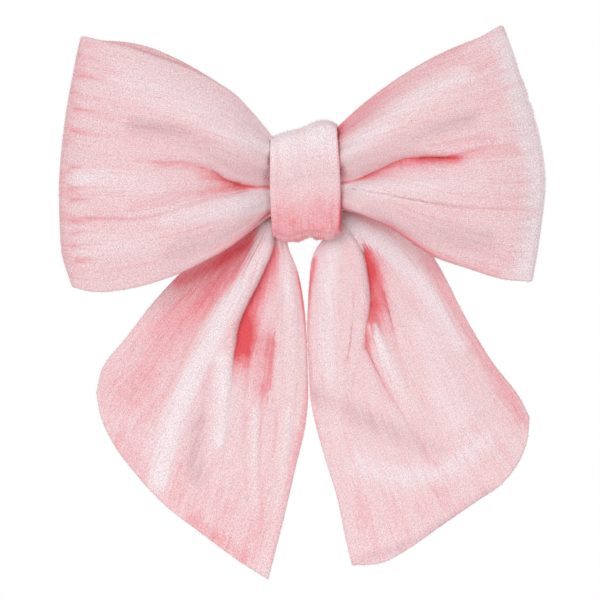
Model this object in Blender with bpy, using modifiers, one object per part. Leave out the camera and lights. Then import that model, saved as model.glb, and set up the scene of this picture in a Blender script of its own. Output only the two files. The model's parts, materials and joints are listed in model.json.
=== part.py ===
"""A velvet ribbon bow with two tails, made up on a French hair clip.

The bow hangs as it is worn: its front faces -Y, the clip is behind it at +Y, and the tails hang to
-Z. The origin is in the middle of the hair passage, between the clip's tension bar and its lever.
"""

import math

import bmesh
import bpy
from mathutils import Matrix, Vector

MM = 0.001

# ---- clearances ----
GAP = 0.3 * MM  # between pieces that lie against each other
FIT = 0.15 * MM  # all round a pin or a rivet in its hole

# ---- clip ----
CLIP_RADIUS = 180 * MM  # the arch, which follows the head
PLATE_LENGTH = 70 * MM
PLATE_WIDTH = 8.4 * MM
PLATE_THICK = 0.8 * MM
END_INSET = 4.5 * MM  # from the plate's end to the rivet
SEWING_HOLE = 0.6 * MM  # radius
SEWING_INSET = 12.5 * MM  # from the plate's end
SEWING_SPREAD = 2.4 * MM  # from the middle line

BRACKET_LENGTH = 6.6 * MM
BRACKET_WIDTH = 8.0 * MM
SHEET_THICK = 0.6 * MM  # bracket, catch base and prongs
RIVET_RADIUS = 0.9 * MM
RIVET_HEAD = 1.4 * MM
RIVET_HEAD_THICK = 0.45 * MM

BAR_THICK = 0.45 * MM
BAR_WIDTH = 5.0 * MM
BAR_BOW = 0.8 * MM  # how far the bar's middle stands up from its ends
BAR_PIN_RADIUS = 0.6 * MM
BAR_PRESS = math.radians(2.0)
HAIR_GAP = 5.4 * MM  # between the tension bar's crown and the lever

LEVER_THICK = 0.8 * MM
LEVER_WIDTH = 6.2 * MM
LEVER_END_WIDTH = 8.8 * MM
LEVER_SLOT = 1.5 * MM  # half the width of the long slot
LEVER_PIN_RADIUS = 0.9 * MM
EYE_WALL = 0.6 * MM
LIFT_TAB = 5.5 * MM  # from the catch to the lever's tip
LIFT_RISE = 1.3 * MM

PRONG_LENGTH = 4.0 * MM  # along the clip
PRONG_SPREAD = 2.5 * MM  # from the middle line to a prong's outer face
BARB = 0.45 * MM
BARB_ABOVE_LEVER = 0.5 * MM
WING_REACH = 5.6 * MM  # from the middle line
WING_DROP = 3.2 * MM  # below the lever

# ---- gathered middle and knot ----
CLOTH = 1.2 * MM  # doubled velvet, pressed
THREAD_RADIUS = 0.25 * MM
THREAD_TURNS = 3
THREAD_PITCH = 1.1 * MM
KNOT_WIDTH = 15.5 * MM
KNOT_WALL = 1.0 * MM
KNOT_LEAN = 0.06  # the band leans to the left at its top
BOW_PINCH_HEIGHT = 24.5 * MM
BOW_PINCH_SLIT = 0.9 * MM
TAIL_PINCH_DEPTH = 3.4 * MM
TAIL_PINCH_HEIGHT = 20 * MM
TAIL_PINCH_WIDTH = 12 * MM
GLUE_THICK = 0.8 * MM
GLUE_LENGTH = 13 * MM
GLUE_WIDTH = 6.6 * MM

# ---- bow ----
# Each loop: how far its fold reaches, and where the fold's two ends are, as (out, up).
LOOPS = {
    "left": {"side": -1, "reach": 61 * MM, "top": (55 * MM, 37 * MM), "bottom": (57 * MM, -26.5 * MM)},
    "right": {"side": 1, "reach": 58.5 * MM, "top": (49 * MM, 38.5 * MM), "bottom": (54.5 * MM, -24.5 * MM)},
}
LOOP_DEPTH = 12 * MM
LOOP_FOLD_FORWARD = 3.5 * MM

# ---- tails: the two long edges of each, as the control points of a Bezier curve in X and Z, in mm ----
TAILS = {
    "left": {
        "side": -1,
        "inner": [(-4.8, -17.8), (1.5, -34), (1.5, -66), (-10.3, -98.2)],
        "outer": [(-11.6, -14.2), (-26, -16), (-45, -30), (-52.3, -54)],
    },
    "right": {
        "side": 1,
        "inner": [(4.4, -18), (-2.4, -37), (1.4, -58), (11.4, -95.2)],
        "outer": [(12.0, -14.2), (28, -10), (37, -24), (55.4, -58)],
    },
}
HEM_BULGE = 6.5 * MM  # how far the diagonal end bows out past a straight cut
TAIL_SWING_HEIGHT = -13.5 * MM
TAIL_THICK = 2.0 * MM
TAIL_PLEAT = 1.7 * MM

# ---- where each layer lies, from the hair passage forward ----
LEVER_UNDER = HAIR_GAP / 2
BAR_TOP = -HAIR_GAP / 2
BAR_UNDER = BAR_TOP - BAR_THICK - BAR_BOW
BAR_TRAVEL = (PLATE_LENGTH / 2 + KNOT_WIDTH / 2) * math.sin(BAR_PRESS)
BAND_SAG = (KNOT_WIDTH / 2) ** 2 / (2 * CLIP_RADIUS)  # the plate rises this much inside the band
BAND_CLEAR = GAP + BAND_SAG
BAR_LIFT = BAND_CLEAR + KNOT_WALL + BAR_TRAVEL + GAP
PLATE_BACK = BAR_UNDER - BAR_LIFT
PLATE_FRONT = PLATE_BACK - PLATE_THICK
GLUE_FRONT = PLATE_FRONT - GAP - GLUE_THICK
THREAD_SPACE = 2 * (GAP + THREAD_RADIUS)
TAIL_PINCH_BACK = GLUE_FRONT - THREAD_SPACE - GAP
TAIL_PINCH_FRONT = TAIL_PINCH_BACK - TAIL_PINCH_DEPTH
BOW_BACK = TAIL_PINCH_FRONT - 2 * THREAD_SPACE
BOW_FRONT = BOW_BACK - 2 * CLOTH - BOW_PINCH_SLIT
BAND_INNER_FRONT = BOW_FRONT - THREAD_SPACE - GAP
BAND_INNER_BACK = PLATE_BACK + BAND_CLEAR
BAND_INNER_HALF = BOW_PINCH_HEIGHT / 2 + THREAD_SPACE + GAP
TAIL_Y = (TAIL_PINCH_FRONT + TAIL_PINCH_BACK) / 2
KNOT_REACH = KNOT_WIDTH / 2 + KNOT_LEAN * (BAND_INNER_HALF + KNOT_WALL) + GAP  # where the loops open

# Heights above the plate's back face, at either end of the clip.
LEVER_HEIGHT = LEVER_UNDER - PLATE_BACK
PIN_HEIGHT = LEVER_HEIGHT + LEVER_THICK / 2
BAR_PIN_HEIGHT = BAR_LIFT + BAR_THICK / 2
END_STATION = PLATE_LENGTH / 2 - END_INSET


# ---------------------------------------------------------------- scene and materials
def clear_scene():
    for obj in list(bpy.data.objects):
        bpy.data.objects.remove(obj, do_unlink=True)


def new_collection(name):
    made = bpy.data.collections.new(name)
    bpy.context.scene.collection.children.link(made)
    return made


def new_material(name, colour, roughness, metallic=0.0):
    made = bpy.data.materials.new(name)
    made.use_nodes = True
    shader = made.node_tree.nodes["Principled BSDF"]
    shader.inputs["Base Color"].default_value = (*colour, 1)
    shader.inputs["Roughness"].default_value = roughness
    shader.inputs["Metallic"].default_value = metallic
    made.diffuse_color = (*colour, 1)
    return made


clear_scene()
BARRETTE = new_collection("barrette")
CUTTERS = new_collection("cutters")
VELVET = new_material("velvet", (0.87, 0.50, 0.53), 0.75)
THREAD = new_material("thread", (0.90, 0.62, 0.64), 0.7)
GLUE = new_material("glue", (0.86, 0.80, 0.66), 0.35)
STEEL = new_material("nickel_steel", (0.72, 0.72, 0.74), 0.28, 1.0)
SPRING_STEEL = new_material("spring_steel", (0.55, 0.56, 0.58), 0.35, 1.0)


def place(name, mesh, material, collection=BARRETTE):
    mesh.materials.clear()
    mesh.materials.append(material)
    obj = bpy.data.objects.new(name, mesh)
    collection.objects.link(obj)
    return obj


def as_cutter(obj):
    for collection in list(obj.users_collection):
        collection.objects.unlink(obj)
    CUTTERS.objects.link(obj)
    obj.hide_render = True
    obj.display_type = "WIRE"
    return obj


def boolean(obj, other, operation):
    modifier = obj.modifiers.new(operation.title(), "BOOLEAN")
    modifier.operation = operation
    modifier.object = as_cutter(other)


def smooth(obj, angle=35):
    obj.data.shade_smooth()
    obj.data.set_sharp_from_angle(angle=math.radians(angle))
    return obj


# ---------------------------------------------------------------- shapes
def arc(centre, radius, start, end, steps):
    """Points on an arc, in degrees."""
    turn = [math.radians(start + (end - start) * i / steps) for i in range(steps + 1)]
    return [(centre[0] + radius * math.cos(a), centre[1] + radius * math.sin(a)) for a in turn]


def circle(centre, radius, steps=20):
    return arc(centre, radius, 0, 360, steps)[:-1]


def round_rectangle(half_length, half_width, radius, centre=(0, 0), steps=4):
    x, y = half_length - radius, half_width - radius
    cx, cy = centre
    return (
        arc((cx + x, cy - y), radius, -90, 0, steps)
        + arc((cx + x, cy + y), radius, 0, 90, steps)
        + arc((cx - x, cy + y), radius, 90, 180, steps)
        + arc((cx - x, cy - y), radius, 180, 270, steps)
    )


def facing_out(mesh):
    """Turns a closed mesh's faces outwards."""
    shape = bmesh.new()
    shape.from_mesh(mesh)
    bmesh.ops.recalc_face_normals(shape, faces=shape.faces)
    if shape.calc_volume(signed=True) < 0:
        bmesh.ops.reverse_faces(shape, faces=shape.faces)
    shape.to_mesh(mesh)
    shape.free()
    return mesh


def evaluated_mesh(obj):
    """The object's shape as a mesh in its own space, with loose caps welded."""
    bpy.context.view_layer.update()
    graph = bpy.context.evaluated_depsgraph_get()
    mesh = bpy.data.meshes.new_from_object(obj.evaluated_get(graph))
    shape = bmesh.new()
    shape.from_mesh(mesh)
    bmesh.ops.remove_doubles(shape, verts=shape.verts, dist=1e-6)
    shape.to_mesh(mesh)
    shape.free()
    return mesh


def flat_mesh(outlines, thickness):
    """A flat sheet in X and Y, from z = 0 up to its thickness. Outlines after the first are holes."""
    curve = bpy.data.curves.new("outline", "CURVE")
    curve.dimensions = "2D"
    curve.fill_mode = "BOTH"
    curve.extrude = thickness / 2
    for outline in outlines:
        spline = curve.splines.new("POLY")
        spline.points.add(len(outline) - 1)
        for point, (x, y) in zip(spline.points, outline):
            point.co = (x, y, 0, 1)
        spline.use_cyclic_u = True
    guide = bpy.data.objects.new("outline", curve)
    bpy.context.scene.collection.objects.link(guide)
    mesh = evaluated_mesh(guide)
    bpy.data.objects.remove(guide)
    mesh.transform(Matrix.Translation((0, 0, thickness / 2)))
    return mesh


def tube_mesh(points, radius, cyclic=False):
    """A round thread or wire through the points."""
    curve = bpy.data.curves.new("route", "CURVE")
    curve.dimensions = "3D"
    curve.bevel_depth = radius
    curve.bevel_resolution = 1
    curve.use_fill_caps = True
    spline = curve.splines.new("POLY")
    spline.points.add(len(points) - 1)
    for point, place_at in zip(spline.points, points):
        point.co = (*place_at, 1)
    spline.use_cyclic_u = cyclic
    guide = bpy.data.objects.new("route", curve)
    bpy.context.scene.collection.objects.link(guide)
    mesh = evaluated_mesh(guide)
    bpy.data.objects.remove(guide)
    return mesh


def turned(name, profile, material, steps=20):
    """A turned piece about the local Z axis. The profile runs down its outer side, as (radius, z)."""
    mesh = bpy.data.meshes.new(name)
    edges = [(i, i + 1) for i in range(len(profile) - 1)]
    mesh.from_pydata([(radius, 0, z) for radius, z in profile], edges, [])
    obj = place(name, mesh, material)
    screw = obj.modifiers.new("Turn", "SCREW")
    screw.steps = screw.render_steps = steps
    screw.use_merge_vertices = True
    screw.merge_threshold = 1e-6
    screw.use_smooth_shade = False
    return obj


def headed_pin(radius, head, head_thick, low, high):
    """The profile of a pin with a head past each end of low..high."""
    return [
        (0, high + head_thick),
        (0.7 * head, high + head_thick),
        (head, high + 0.4 * head_thick),
        (head, high),
        (radius, high),
        (radius, low),
        (head, low),
        (head, low - 0.4 * head_thick),
        (0.7 * head, low - head_thick),
        (0, low - head_thick),
    ]


def grid_mesh(rows, closed=False):
    """A sheet of quads through rows of points. Closed joins each row's last point to its first."""
    across = len(rows[0])
    mesh = bpy.data.meshes.new("sheet")
    faces = []
    for i in range(len(rows) - 1):
        for j in range(across if closed else across - 1):
            k = (j + 1) % across
            faces.append((i * across + j, i * across + k, (i + 1) * across + k, (i + 1) * across + j))
    mesh.from_pydata([point for row in rows for point in row], [], faces)
    shape = bmesh.new()
    shape.from_mesh(mesh)
    bmesh.ops.recalc_face_normals(shape, faces=shape.faces)
    shape.to_mesh(mesh)
    shape.free()
    return mesh


def cloth(name, mesh, thickness, offset=0.0):
    obj = place(name, mesh, VELVET)
    solid = obj.modifiers.new("Cloth", "SOLIDIFY")
    solid.thickness = thickness
    solid.offset = offset
    solid.use_even_offset = True
    smooth(obj, 60)
    return obj


# ---------------------------------------------------------------- the clip's arch
def station(along, height):
    """The point at this distance along the plate and height above its back face, as (x, y)."""
    turn = along / CLIP_RADIUS
    radius = CLIP_RADIUS - height
    return radius * math.sin(turn), PLATE_BACK + CLIP_RADIUS - radius * math.cos(turn)


def seat(obj, along, height=0.0, up=0.0):
    """Puts a piece at a station: local X along the clip, local Y away from the plate, local Z up."""
    x, y = station(along, height)
    obj.location = (x, y, up)
    obj.rotation_euler = (0, 0, along / CLIP_RADIUS)
    return obj


STAND_UP = Matrix(((1, 0, 0), (0, 0, 1), (0, -1, 0))).to_4x4()  # a sheet in X and Y lies at local Y


def arched(mesh, height, step=3 * MM):
    """Bends a flat strip to the arch. height(along) is its underside above the plate's back face."""
    shape = bmesh.new()
    shape.from_mesh(mesh)
    low = min(v.co.x for v in shape.verts)
    high = max(v.co.x for v in shape.verts)
    cuts = int((high - low) / step)
    for i in range(1, cuts):
        at = Vector((low + (high - low) * i / cuts, 0, 0))
        everything = shape.verts[:] + shape.edges[:] + shape.faces[:]
        bmesh.ops.bisect_plane(shape, geom=everything, dist=1e-7, plane_co=at, plane_no=(1, 0, 0))
    for v in shape.verts:
        x, y = station(v.co.x, height(v.co.x) + v.co.z)
        v.co = (x, y, v.co.y)
    shape.to_mesh(mesh)
    shape.free()
    return facing_out(mesh)


# ---------------------------------------------------------------- clip pieces
def base_plate():
    half = PLATE_LENGTH / 2
    outlines = [round_rectangle(half, PLATE_WIDTH / 2, 0.4 * PLATE_WIDTH, steps=5)]
    for side in (-1, 1):
        outlines.append(circle((side * END_STATION, 0), RIVET_RADIUS + FIT))
        for up in (-1, 1):
            outlines.append(circle((side * (half - SEWING_INSET), up * SEWING_SPREAD), SEWING_HOLE, 12))
    mesh = arched(flat_mesh(outlines, PLATE_THICK), lambda along: -PLATE_THICK)
    return place("clip_base_plate", mesh, STEEL)


def bracket_ear(up):
    """One ear, with the hole for the lever's pin above the hole for the tension bar's pin."""
    half = BRACKET_LENGTH / 2
    crown = LEVER_PIN_RADIUS + FIT + 1.1 * MM
    foot = GAP + 0.5 * SHEET_THICK
    outline = [(half, foot), (half, BAR_PIN_HEIGHT)] + arc((0, PIN_HEIGHT), crown, 0, 180, 8)
    outline += [(-half, BAR_PIN_HEIGHT), (-half, foot)]
    holes = [
        circle((0, PIN_HEIGHT), LEVER_PIN_RADIUS + FIT),
        circle((0, BAR_PIN_HEIGHT), BAR_PIN_RADIUS + FIT, 16),
    ]
    mesh = flat_mesh([outline] + holes, SHEET_THICK)
    inner = BRACKET_WIDTH / 2 - SHEET_THICK
    mesh.transform(Matrix.Translation((0, 0, inner if up > 0 else -inner - SHEET_THICK)))
    return place(f"ear_{'upper' if up > 0 else 'lower'}", mesh, STEEL)


def hinge_bracket():
    outline = round_rectangle(BRACKET_LENGTH / 2, BRACKET_WIDTH / 2, 0.3 * MM, steps=1)
    mesh = flat_mesh([outline, circle((0, 0), RIVET_RADIUS + FIT)], SHEET_THICK)
    mesh.transform(Matrix.Translation((0, GAP, 0)) @ STAND_UP)
    bracket = seat(place("hinge_bracket", mesh, STEEL), END_STATION)
    for up in (-1, 1):
        boolean(bracket, seat(bracket_ear(up), END_STATION), "UNION")
    return bracket


def rivet(name, side):
    """Through the plate and the sheet that lies on it; its axis is the arch's normal."""
    low, high = -PLATE_THICK - FIT, GAP + SHEET_THICK + FIT
    made = turned(name, headed_pin(RIVET_RADIUS, RIVET_HEAD, RIVET_HEAD_THICK, low, high), STEEL)
    seat(made, side * END_STATION)
    made.rotation_euler = (-math.pi / 2, 0, side * END_STATION / CLIP_RADIUS)
    return smooth(made)


def cross_pin(name, radius, height):
    """A pin across the bracket's ears."""
    reach = BRACKET_WIDTH / 2 + FIT
    made = turned(name, headed_pin(radius, 1.6 * radius, 0.45 * MM, -reach, reach), STEEL)
    return smooth(seat(made, END_STATION, height))


def eye(radius, wall, width, height):
    """The rolled end of a strip round its pin, a little narrower than the strip, and its hole's cutter."""

    def drum(name, drum_radius, half):
        return turned(name, [(0, half), (drum_radius, half), (drum_radius, -half), (0, -half)], STEEL)

    body = drum("eye", radius + wall, (width - FIT) / 2)
    hole = drum("eye_hole", radius, width)
    return [seat(piece, END_STATION, height) for piece in (body, hole)]


def tension_bar():
    start = -END_STATION + BRACKET_LENGTH / 2 + 1.2 * MM
    end = END_STATION - BAR_PIN_RADIUS - FIT - BAR_THICK / 2
    length = end - start
    half = length / 2
    outline = round_rectangle(half, BAR_WIDTH / 2, 0.2 * BAR_WIDTH, (start + half, 0))

    def height(along):
        across = (along - start - half) / half
        return BAR_LIFT + BAR_BOW * (1 - across**2)

    bar = place("tension_bar", arched(flat_mesh([outline], BAR_THICK), height), SPRING_STEEL)
    body, hole = eye(BAR_PIN_RADIUS + FIT, BAR_THICK, BAR_WIDTH, BAR_PIN_HEIGHT)
    boolean(bar, body, "UNION")
    boolean(bar, hole, "DIFFERENCE")
    return bar


def clasp_lever():
    tip = -END_STATION - LIFT_TAB
    neck = -END_STATION + PRONG_LENGTH + 3 * MM
    wide, narrow = LEVER_END_WIDTH / 2, LEVER_WIDTH / 2
    half_window = PRONG_LENGTH / 2 + GAP + 0.3 * MM
    end = END_STATION - LEVER_PIN_RADIUS - FIT - EYE_WALL / 2
    outline = [(end, -narrow), (end, narrow), (neck, narrow), (neck - 3 * MM, wide)]
    outline += arc((tip + 3 * MM, wide - 3 * MM), 3 * MM, 90, 180, 4)
    outline += arc((tip + 3 * MM, 3 * MM - wide), 3 * MM, 180, 270, 4)
    outline += [(neck - 3 * MM, -wide), (neck, -narrow)]
    window = round_rectangle(half_window, PRONG_SPREAD + BARB + GAP, 0.5 * MM, (-END_STATION, 0), 2)
    slot_half = (END_STATION - 6 * MM - neck) / 2
    slot = round_rectangle(slot_half, LEVER_SLOT, LEVER_SLOT * 0.99, (neck + slot_half + 1.5 * MM, 0))

    def height(along):
        past = max(0.0, -END_STATION - half_window - along)
        return LEVER_HEIGHT + LIFT_RISE * (past / (LIFT_TAB - half_window)) ** 2

    mesh = arched(flat_mesh([outline, window, slot], LEVER_THICK), height, 2 * MM)
    lever = place("clasp_lever", mesh, STEEL)
    body, hole = eye(LEVER_PIN_RADIUS + FIT, EYE_WALL, LEVER_WIDTH, PIN_HEIGHT)
    boolean(lever, body, "UNION")
    boolean(lever, hole, "DIFFERENCE")
    return lever


def catch_base():
    half = PRONG_SPREAD - SHEET_THICK - 0.1 * MM
    outline = round_rectangle(BRACKET_LENGTH / 2, max(half, RIVET_RADIUS + FIT + 0.3 * MM), 0.3 * MM, steps=1)
    mesh = flat_mesh([outline, circle((0, 0), RIVET_RADIUS + FIT)], SHEET_THICK)
    mesh.transform(Matrix.Translation((0, GAP, 0)) @ STAND_UP)
    return seat(place("catch_base", mesh, SPRING_STEEL), -END_STATION)


def catch_prong(name, up):
    """A sprung prong: foot, finger wing, and a barb above the lever. Its outline is in local Z and Y."""
    outer = PRONG_SPREAD
    inner = outer - SHEET_THICK
    foot = GAP + SHEET_THICK + GAP
    wing = LEVER_HEIGHT - WING_DROP
    barb = LEVER_HEIGHT + LEVER_THICK + BARB_ABOVE_LEVER
    outline = [
        (inner, foot),
        (outer, foot),
        (outer, wing),
        (WING_REACH, wing - 0.8 * MM),
        (WING_REACH, wing - 0.8 * MM + SHEET_THICK),
        (outer, wing + SHEET_THICK),
        (outer, barb),
        (outer + BARB, barb),
        (outer, barb + 2 * BARB),
        (inner, barb + 2 * BARB),
    ]
    mesh = flat_mesh([outline], PRONG_LENGTH)
    mesh.transform(Matrix.Translation((0, 0, -PRONG_LENGTH / 2)))
    # The outline's X becomes local Z, outward, and its thickness lies along the clip.
    mesh.transform(Matrix(((0, 0, 1), (0, 1, 0), (up, 0, 0))).to_4x4())
    return seat(place(name, facing_out(mesh), SPRING_STEEL), -END_STATION)


# ---------------------------------------------------------------- gathered cloth
def bow_band():
    """The doubled strip as one flattened ring: across the front, round each fold and back."""
    around, levels = 15, 10
    back = BOW_BACK - CLOTH / 2
    pinch_depth = (BOW_PINCH_SLIT + CLOTH) / 2
    peak = 0.54  # the largest value of cos(t) * sin(t) ** 0.8

    def point(loop, t, level):
        spread = math.sin(t)
        (top_x, top_z), (low_x, low_z) = loop["top"], loop["bottom"]
        share = (level + 1) / 2
        fold_x = low_x + (top_x - low_x) * share
        middle_x = (top_x + low_x) / 2
        fold_x += (loop["reach"] - middle_x) * (1 - level**2)
        fold_z = low_z + (top_z - low_z) * share
        pinch_z = level * BOW_PINCH_HEIGHT / 2
        x = KNOT_REACH + spread * (fold_x - KNOT_REACH)
        z = pinch_z + (fold_z - pinch_z) * (1 - (1 - spread) ** 1.9)
        swell = LOOP_DEPTH / 2 * math.cos(t) * spread**0.8 / peak * (1 - 0.25 * level**2)
        half_depth = pinch_depth * (1 - spread) * (1 if t < math.pi / 2 else -1) + swell
        forward = LOOP_FOLD_FORWARD * spread**2
        middle = back - pinch_depth * (1 - spread) - abs(swell) - forward
        return (loop["side"] * x, middle - half_depth, z)

    turns = [math.pi * i / around for i in range(around + 1)]
    rows = []
    for j in range(levels + 1):
        level = -1 + 2 * j / levels
        row = [point(LOOPS["left"], t, level) for t in turns]
        row += [point(LOOPS["right"], math.pi - t, level) for t in turns]
        rows.append(row)
    return cloth("bow_band", grid_mesh(rows, closed=True), CLOTH)


def bezier(points, t):
    a, b, c, d = (Vector(point) * MM for point in points)
    s = 1 - t
    return s**3 * a + 3 * s * s * t * b + 3 * s * t * t * c + t**3 * d


def tail(side):
    """A doubled strip that fans out from the knot, with pleats that run down it."""
    across, down = 12, 12
    rows = []
    for i in range(down + 1):
        fall = i / down
        inner, outer = bezier(TAILS[side]["inner"], fall), bezier(TAILS[side]["outer"], fall)
        row = []
        for j in range(across + 1):
            share = j / across
            x, z = inner.lerp(outer, share)
            bulge = HEM_BULGE * 4 * share * (1 - share) * fall**2
            wave = TAIL_PLEAT * math.cos(3 * math.pi * share) * min(1.0, 2.2 * fall)
            row.append((x + TAILS[side]["side"] * 0.65 * bulge, TAIL_Y + wave, z - 0.75 * bulge))
        rows.append(row)
    return cloth(f"tail_{side}", grid_mesh(rows), TAIL_THICK)


def tails_pinch():
    """The tail strip's gathered middle, inside the knot."""
    columns, levels = 6, 16
    ripple = 0.5 * MM
    rows = []
    for i in range(levels + 1):
        z = TAIL_PINCH_HEIGHT * (i / levels - 0.5)
        y = TAIL_Y + ripple * math.cos(8 * math.pi * i / levels)
        rows.append([(TAIL_PINCH_WIDTH * (j / columns - 0.5), y, z) for j in range(columns + 1)])
    return cloth("tails_pinch", grid_mesh(rows), TAIL_PINCH_DEPTH - 2 * ripple - GAP)


def knot_band():
    """The strip wrapped round the gathered middle and the clip's plate."""
    columns = 4
    half_depth = (BAND_INNER_BACK - BAND_INNER_FRONT) / 2
    middle = (BAND_INNER_BACK + BAND_INNER_FRONT) / 2
    ring = round_rectangle(half_depth, BAND_INNER_HALF, 3 * MM, (middle, 0), 5)
    rows = []
    for j in range(columns + 1):
        x = KNOT_WIDTH * (j / columns - 0.5)
        rows.append([(x - KNOT_LEAN * z, y, z) for y, z in ring])
    return cloth("knot_band", grid_mesh(rows, closed=True), KNOT_WALL, 1.0)


def windings(name, front, back, height):
    """Thread wound round a gathered middle, as a flattened coil along X."""
    reach = GAP + THREAD_RADIUS
    half_depth, half_height = (back - front) / 2 + reach, height / 2 + reach
    loop = round_rectangle(half_depth, half_height, 1.5 * reach, ((front + back) / 2, 0), 3)
    points = []
    for i in range(THREAD_TURNS * len(loop)):
        y, z = loop[i % len(loop)]
        points.append((THREAD_PITCH * (i / len(loop) - THREAD_TURNS / 2), y, z))
    return place(name, tube_mesh(points, THREAD_RADIUS), THREAD)


def knot_seam():
    """Whip stitches along the band's overlap, at its back and above the clip."""
    stitches = 7
    y = BAND_INNER_BACK + KNOT_WALL + GAP + THREAD_RADIUS
    rise, middle = 0.9 * MM, 0.62 * BAND_INNER_HALF
    reach = KNOT_WIDTH / 2 - 1.5 * MM
    points = []
    for i in range(2 * stitches + 1):
        x = reach * (i / stitches - 1)
        points.append((x, y, middle + (rise if i % 2 else -rise)))
    return place("knot_seam_thread", tube_mesh(points, THREAD_RADIUS), THREAD)


def glue_bed():
    bpy.ops.mesh.primitive_cube_add(size=1)
    made = bpy.context.active_object
    made.name = "glue_bed"
    mesh = made.data
    mesh.transform(Matrix.Diagonal((GLUE_LENGTH, GLUE_THICK, GLUE_WIDTH, 1)))
    mesh.materials.clear()
    mesh.materials.append(GLUE)
    made.location = (0, GLUE_FRONT + GLUE_THICK / 2, 0)
    bevel = made.modifiers.new("Round", "BEVEL")
    bevel.width = 0.35 * GLUE_THICK
    bevel.segments = 2
    for collection in list(made.users_collection):
        collection.objects.unlink(made)
    BARRETTE.objects.link(made)
    return made


# ---------------------------------------------------------------- assembly
bow_band()
for tail_side in TAILS:
    tail(tail_side)
tails_pinch()
knot_band()
windings("bow_gather_thread", BOW_FRONT, BOW_BACK, BOW_PINCH_HEIGHT)
windings("tail_gather_thread", TAIL_PINCH_FRONT, TAIL_PINCH_BACK, TAIL_PINCH_HEIGHT)
knot_seam()
glue_bed()
base_plate()
hinge_bracket()
rivet("hinge_rivet", 1)
cross_pin("hinge_pin", LEVER_PIN_RADIUS, PIN_HEIGHT)
cross_pin("tension_bar_pin", BAR_PIN_RADIUS, BAR_PIN_HEIGHT)
tension_bar()
clasp_lever()
catch_base()
rivet("catch_rivet", -1)
catch_prong("catch_prong_upper", 1)
catch_prong("catch_prong_lower", -1)

hinge = station(END_STATION, PIN_HEIGHT)
bar_hinge = station(END_STATION, BAR_PIN_HEIGHT)
catch = station(-END_STATION, GAP + SHEET_THICK)
print("lever pin at", [round(v, 5) for v in hinge], "bar pin at", [round(v, 5) for v in bar_hinge])
print("catch at", [round(v, 5) for v in catch], "turned", round(math.degrees(END_STATION / CLIP_RADIUS), 3))
print("tails hang at", (round(TAIL_Y, 5), TAIL_SWING_HEIGHT), "plate back", round(PLATE_BACK, 5), "bow front", round(BOW_FRONT, 5))
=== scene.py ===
# %% [markdown]
# # A velvet bow on a hair clip
# The bow is sewn from three strips of stretch velvet, each stitched into a tube and turned right side out.
# One strip makes both loops, one makes the two tails, and a short one wraps the middle as the knot.
# The metal clip behind it comes from the CAD frame. This script dresses that frame: it swaps the plain
# cloth solids for gathered, folded velvet, and gives every other piece its finish.
# Lengths are written in millimetres and turned into metres at the last moment.

# %% The frame
import json
import math

import bpy
import bmesh
import numpy as np
from mathutils import Matrix, Vector

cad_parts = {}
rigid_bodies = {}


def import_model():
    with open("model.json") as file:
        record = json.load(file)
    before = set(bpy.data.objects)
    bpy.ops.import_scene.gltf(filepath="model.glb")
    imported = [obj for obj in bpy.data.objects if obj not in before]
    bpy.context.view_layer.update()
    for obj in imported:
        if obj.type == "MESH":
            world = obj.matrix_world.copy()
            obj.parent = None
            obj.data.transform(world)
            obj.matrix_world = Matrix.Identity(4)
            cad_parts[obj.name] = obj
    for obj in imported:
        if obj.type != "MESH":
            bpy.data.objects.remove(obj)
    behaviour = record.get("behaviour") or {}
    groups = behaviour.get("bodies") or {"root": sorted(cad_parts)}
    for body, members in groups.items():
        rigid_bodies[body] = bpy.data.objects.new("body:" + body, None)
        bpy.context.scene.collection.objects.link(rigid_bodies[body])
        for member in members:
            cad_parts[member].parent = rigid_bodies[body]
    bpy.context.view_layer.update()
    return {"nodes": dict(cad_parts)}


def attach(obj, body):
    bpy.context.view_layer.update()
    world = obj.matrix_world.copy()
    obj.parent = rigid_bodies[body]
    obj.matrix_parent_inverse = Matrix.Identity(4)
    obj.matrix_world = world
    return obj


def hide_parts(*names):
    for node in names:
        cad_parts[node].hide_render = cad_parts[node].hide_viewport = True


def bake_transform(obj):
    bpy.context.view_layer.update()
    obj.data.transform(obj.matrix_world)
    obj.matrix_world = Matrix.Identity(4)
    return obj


MM = 0.001

for leftover in list(bpy.data.objects):
    bpy.data.objects.remove(leftover, do_unlink=True)
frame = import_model()
print("nodes:", len(frame["nodes"]))

# %% [markdown]
# ## The camera
# A small product is shot from more than a metre away, so that both loops keep their true size beside the
# knot. That is a long lens. The sensor and the distance are fixed, and the lens follows from the width of
# the view, which is a little wider than the bow.

# %% The camera
SENSOR = 36.0
VIEW_WIDTH = 148.4
VIEW_CENTRE = (-1.7, -29.0)
CAMERA_DISTANCE = 1.2
CLOTH_PLANE = -0.02

camera = bpy.data.objects.new("camera", bpy.data.cameras.new("camera"))
camera.data.sensor_width = SENSOR
camera.data.lens = SENSOR * CAMERA_DISTANCE / (VIEW_WIDTH * MM)
camera.data.clip_end = 50
camera.location = (VIEW_CENTRE[0] * MM, CLOTH_PLANE - CAMERA_DISTANCE, VIEW_CENTRE[1] * MM)
camera.rotation_euler = (math.radians(90), 0, 0)
bpy.context.scene.collection.objects.link(camera)
bpy.context.scene.camera = camera
print("lens:", round(camera.data.lens, 1), "mm")

# %% [markdown]
# ## Smooth curves from a few points
# Every edge, fold and crease below is a smooth curve through a few points that a maker could mark on
# the cloth. A Catmull-Rom curve passes through all of its points, so the points say just where the edge
# goes. Reading it at even steps of its length keeps the mesh even too.


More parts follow.
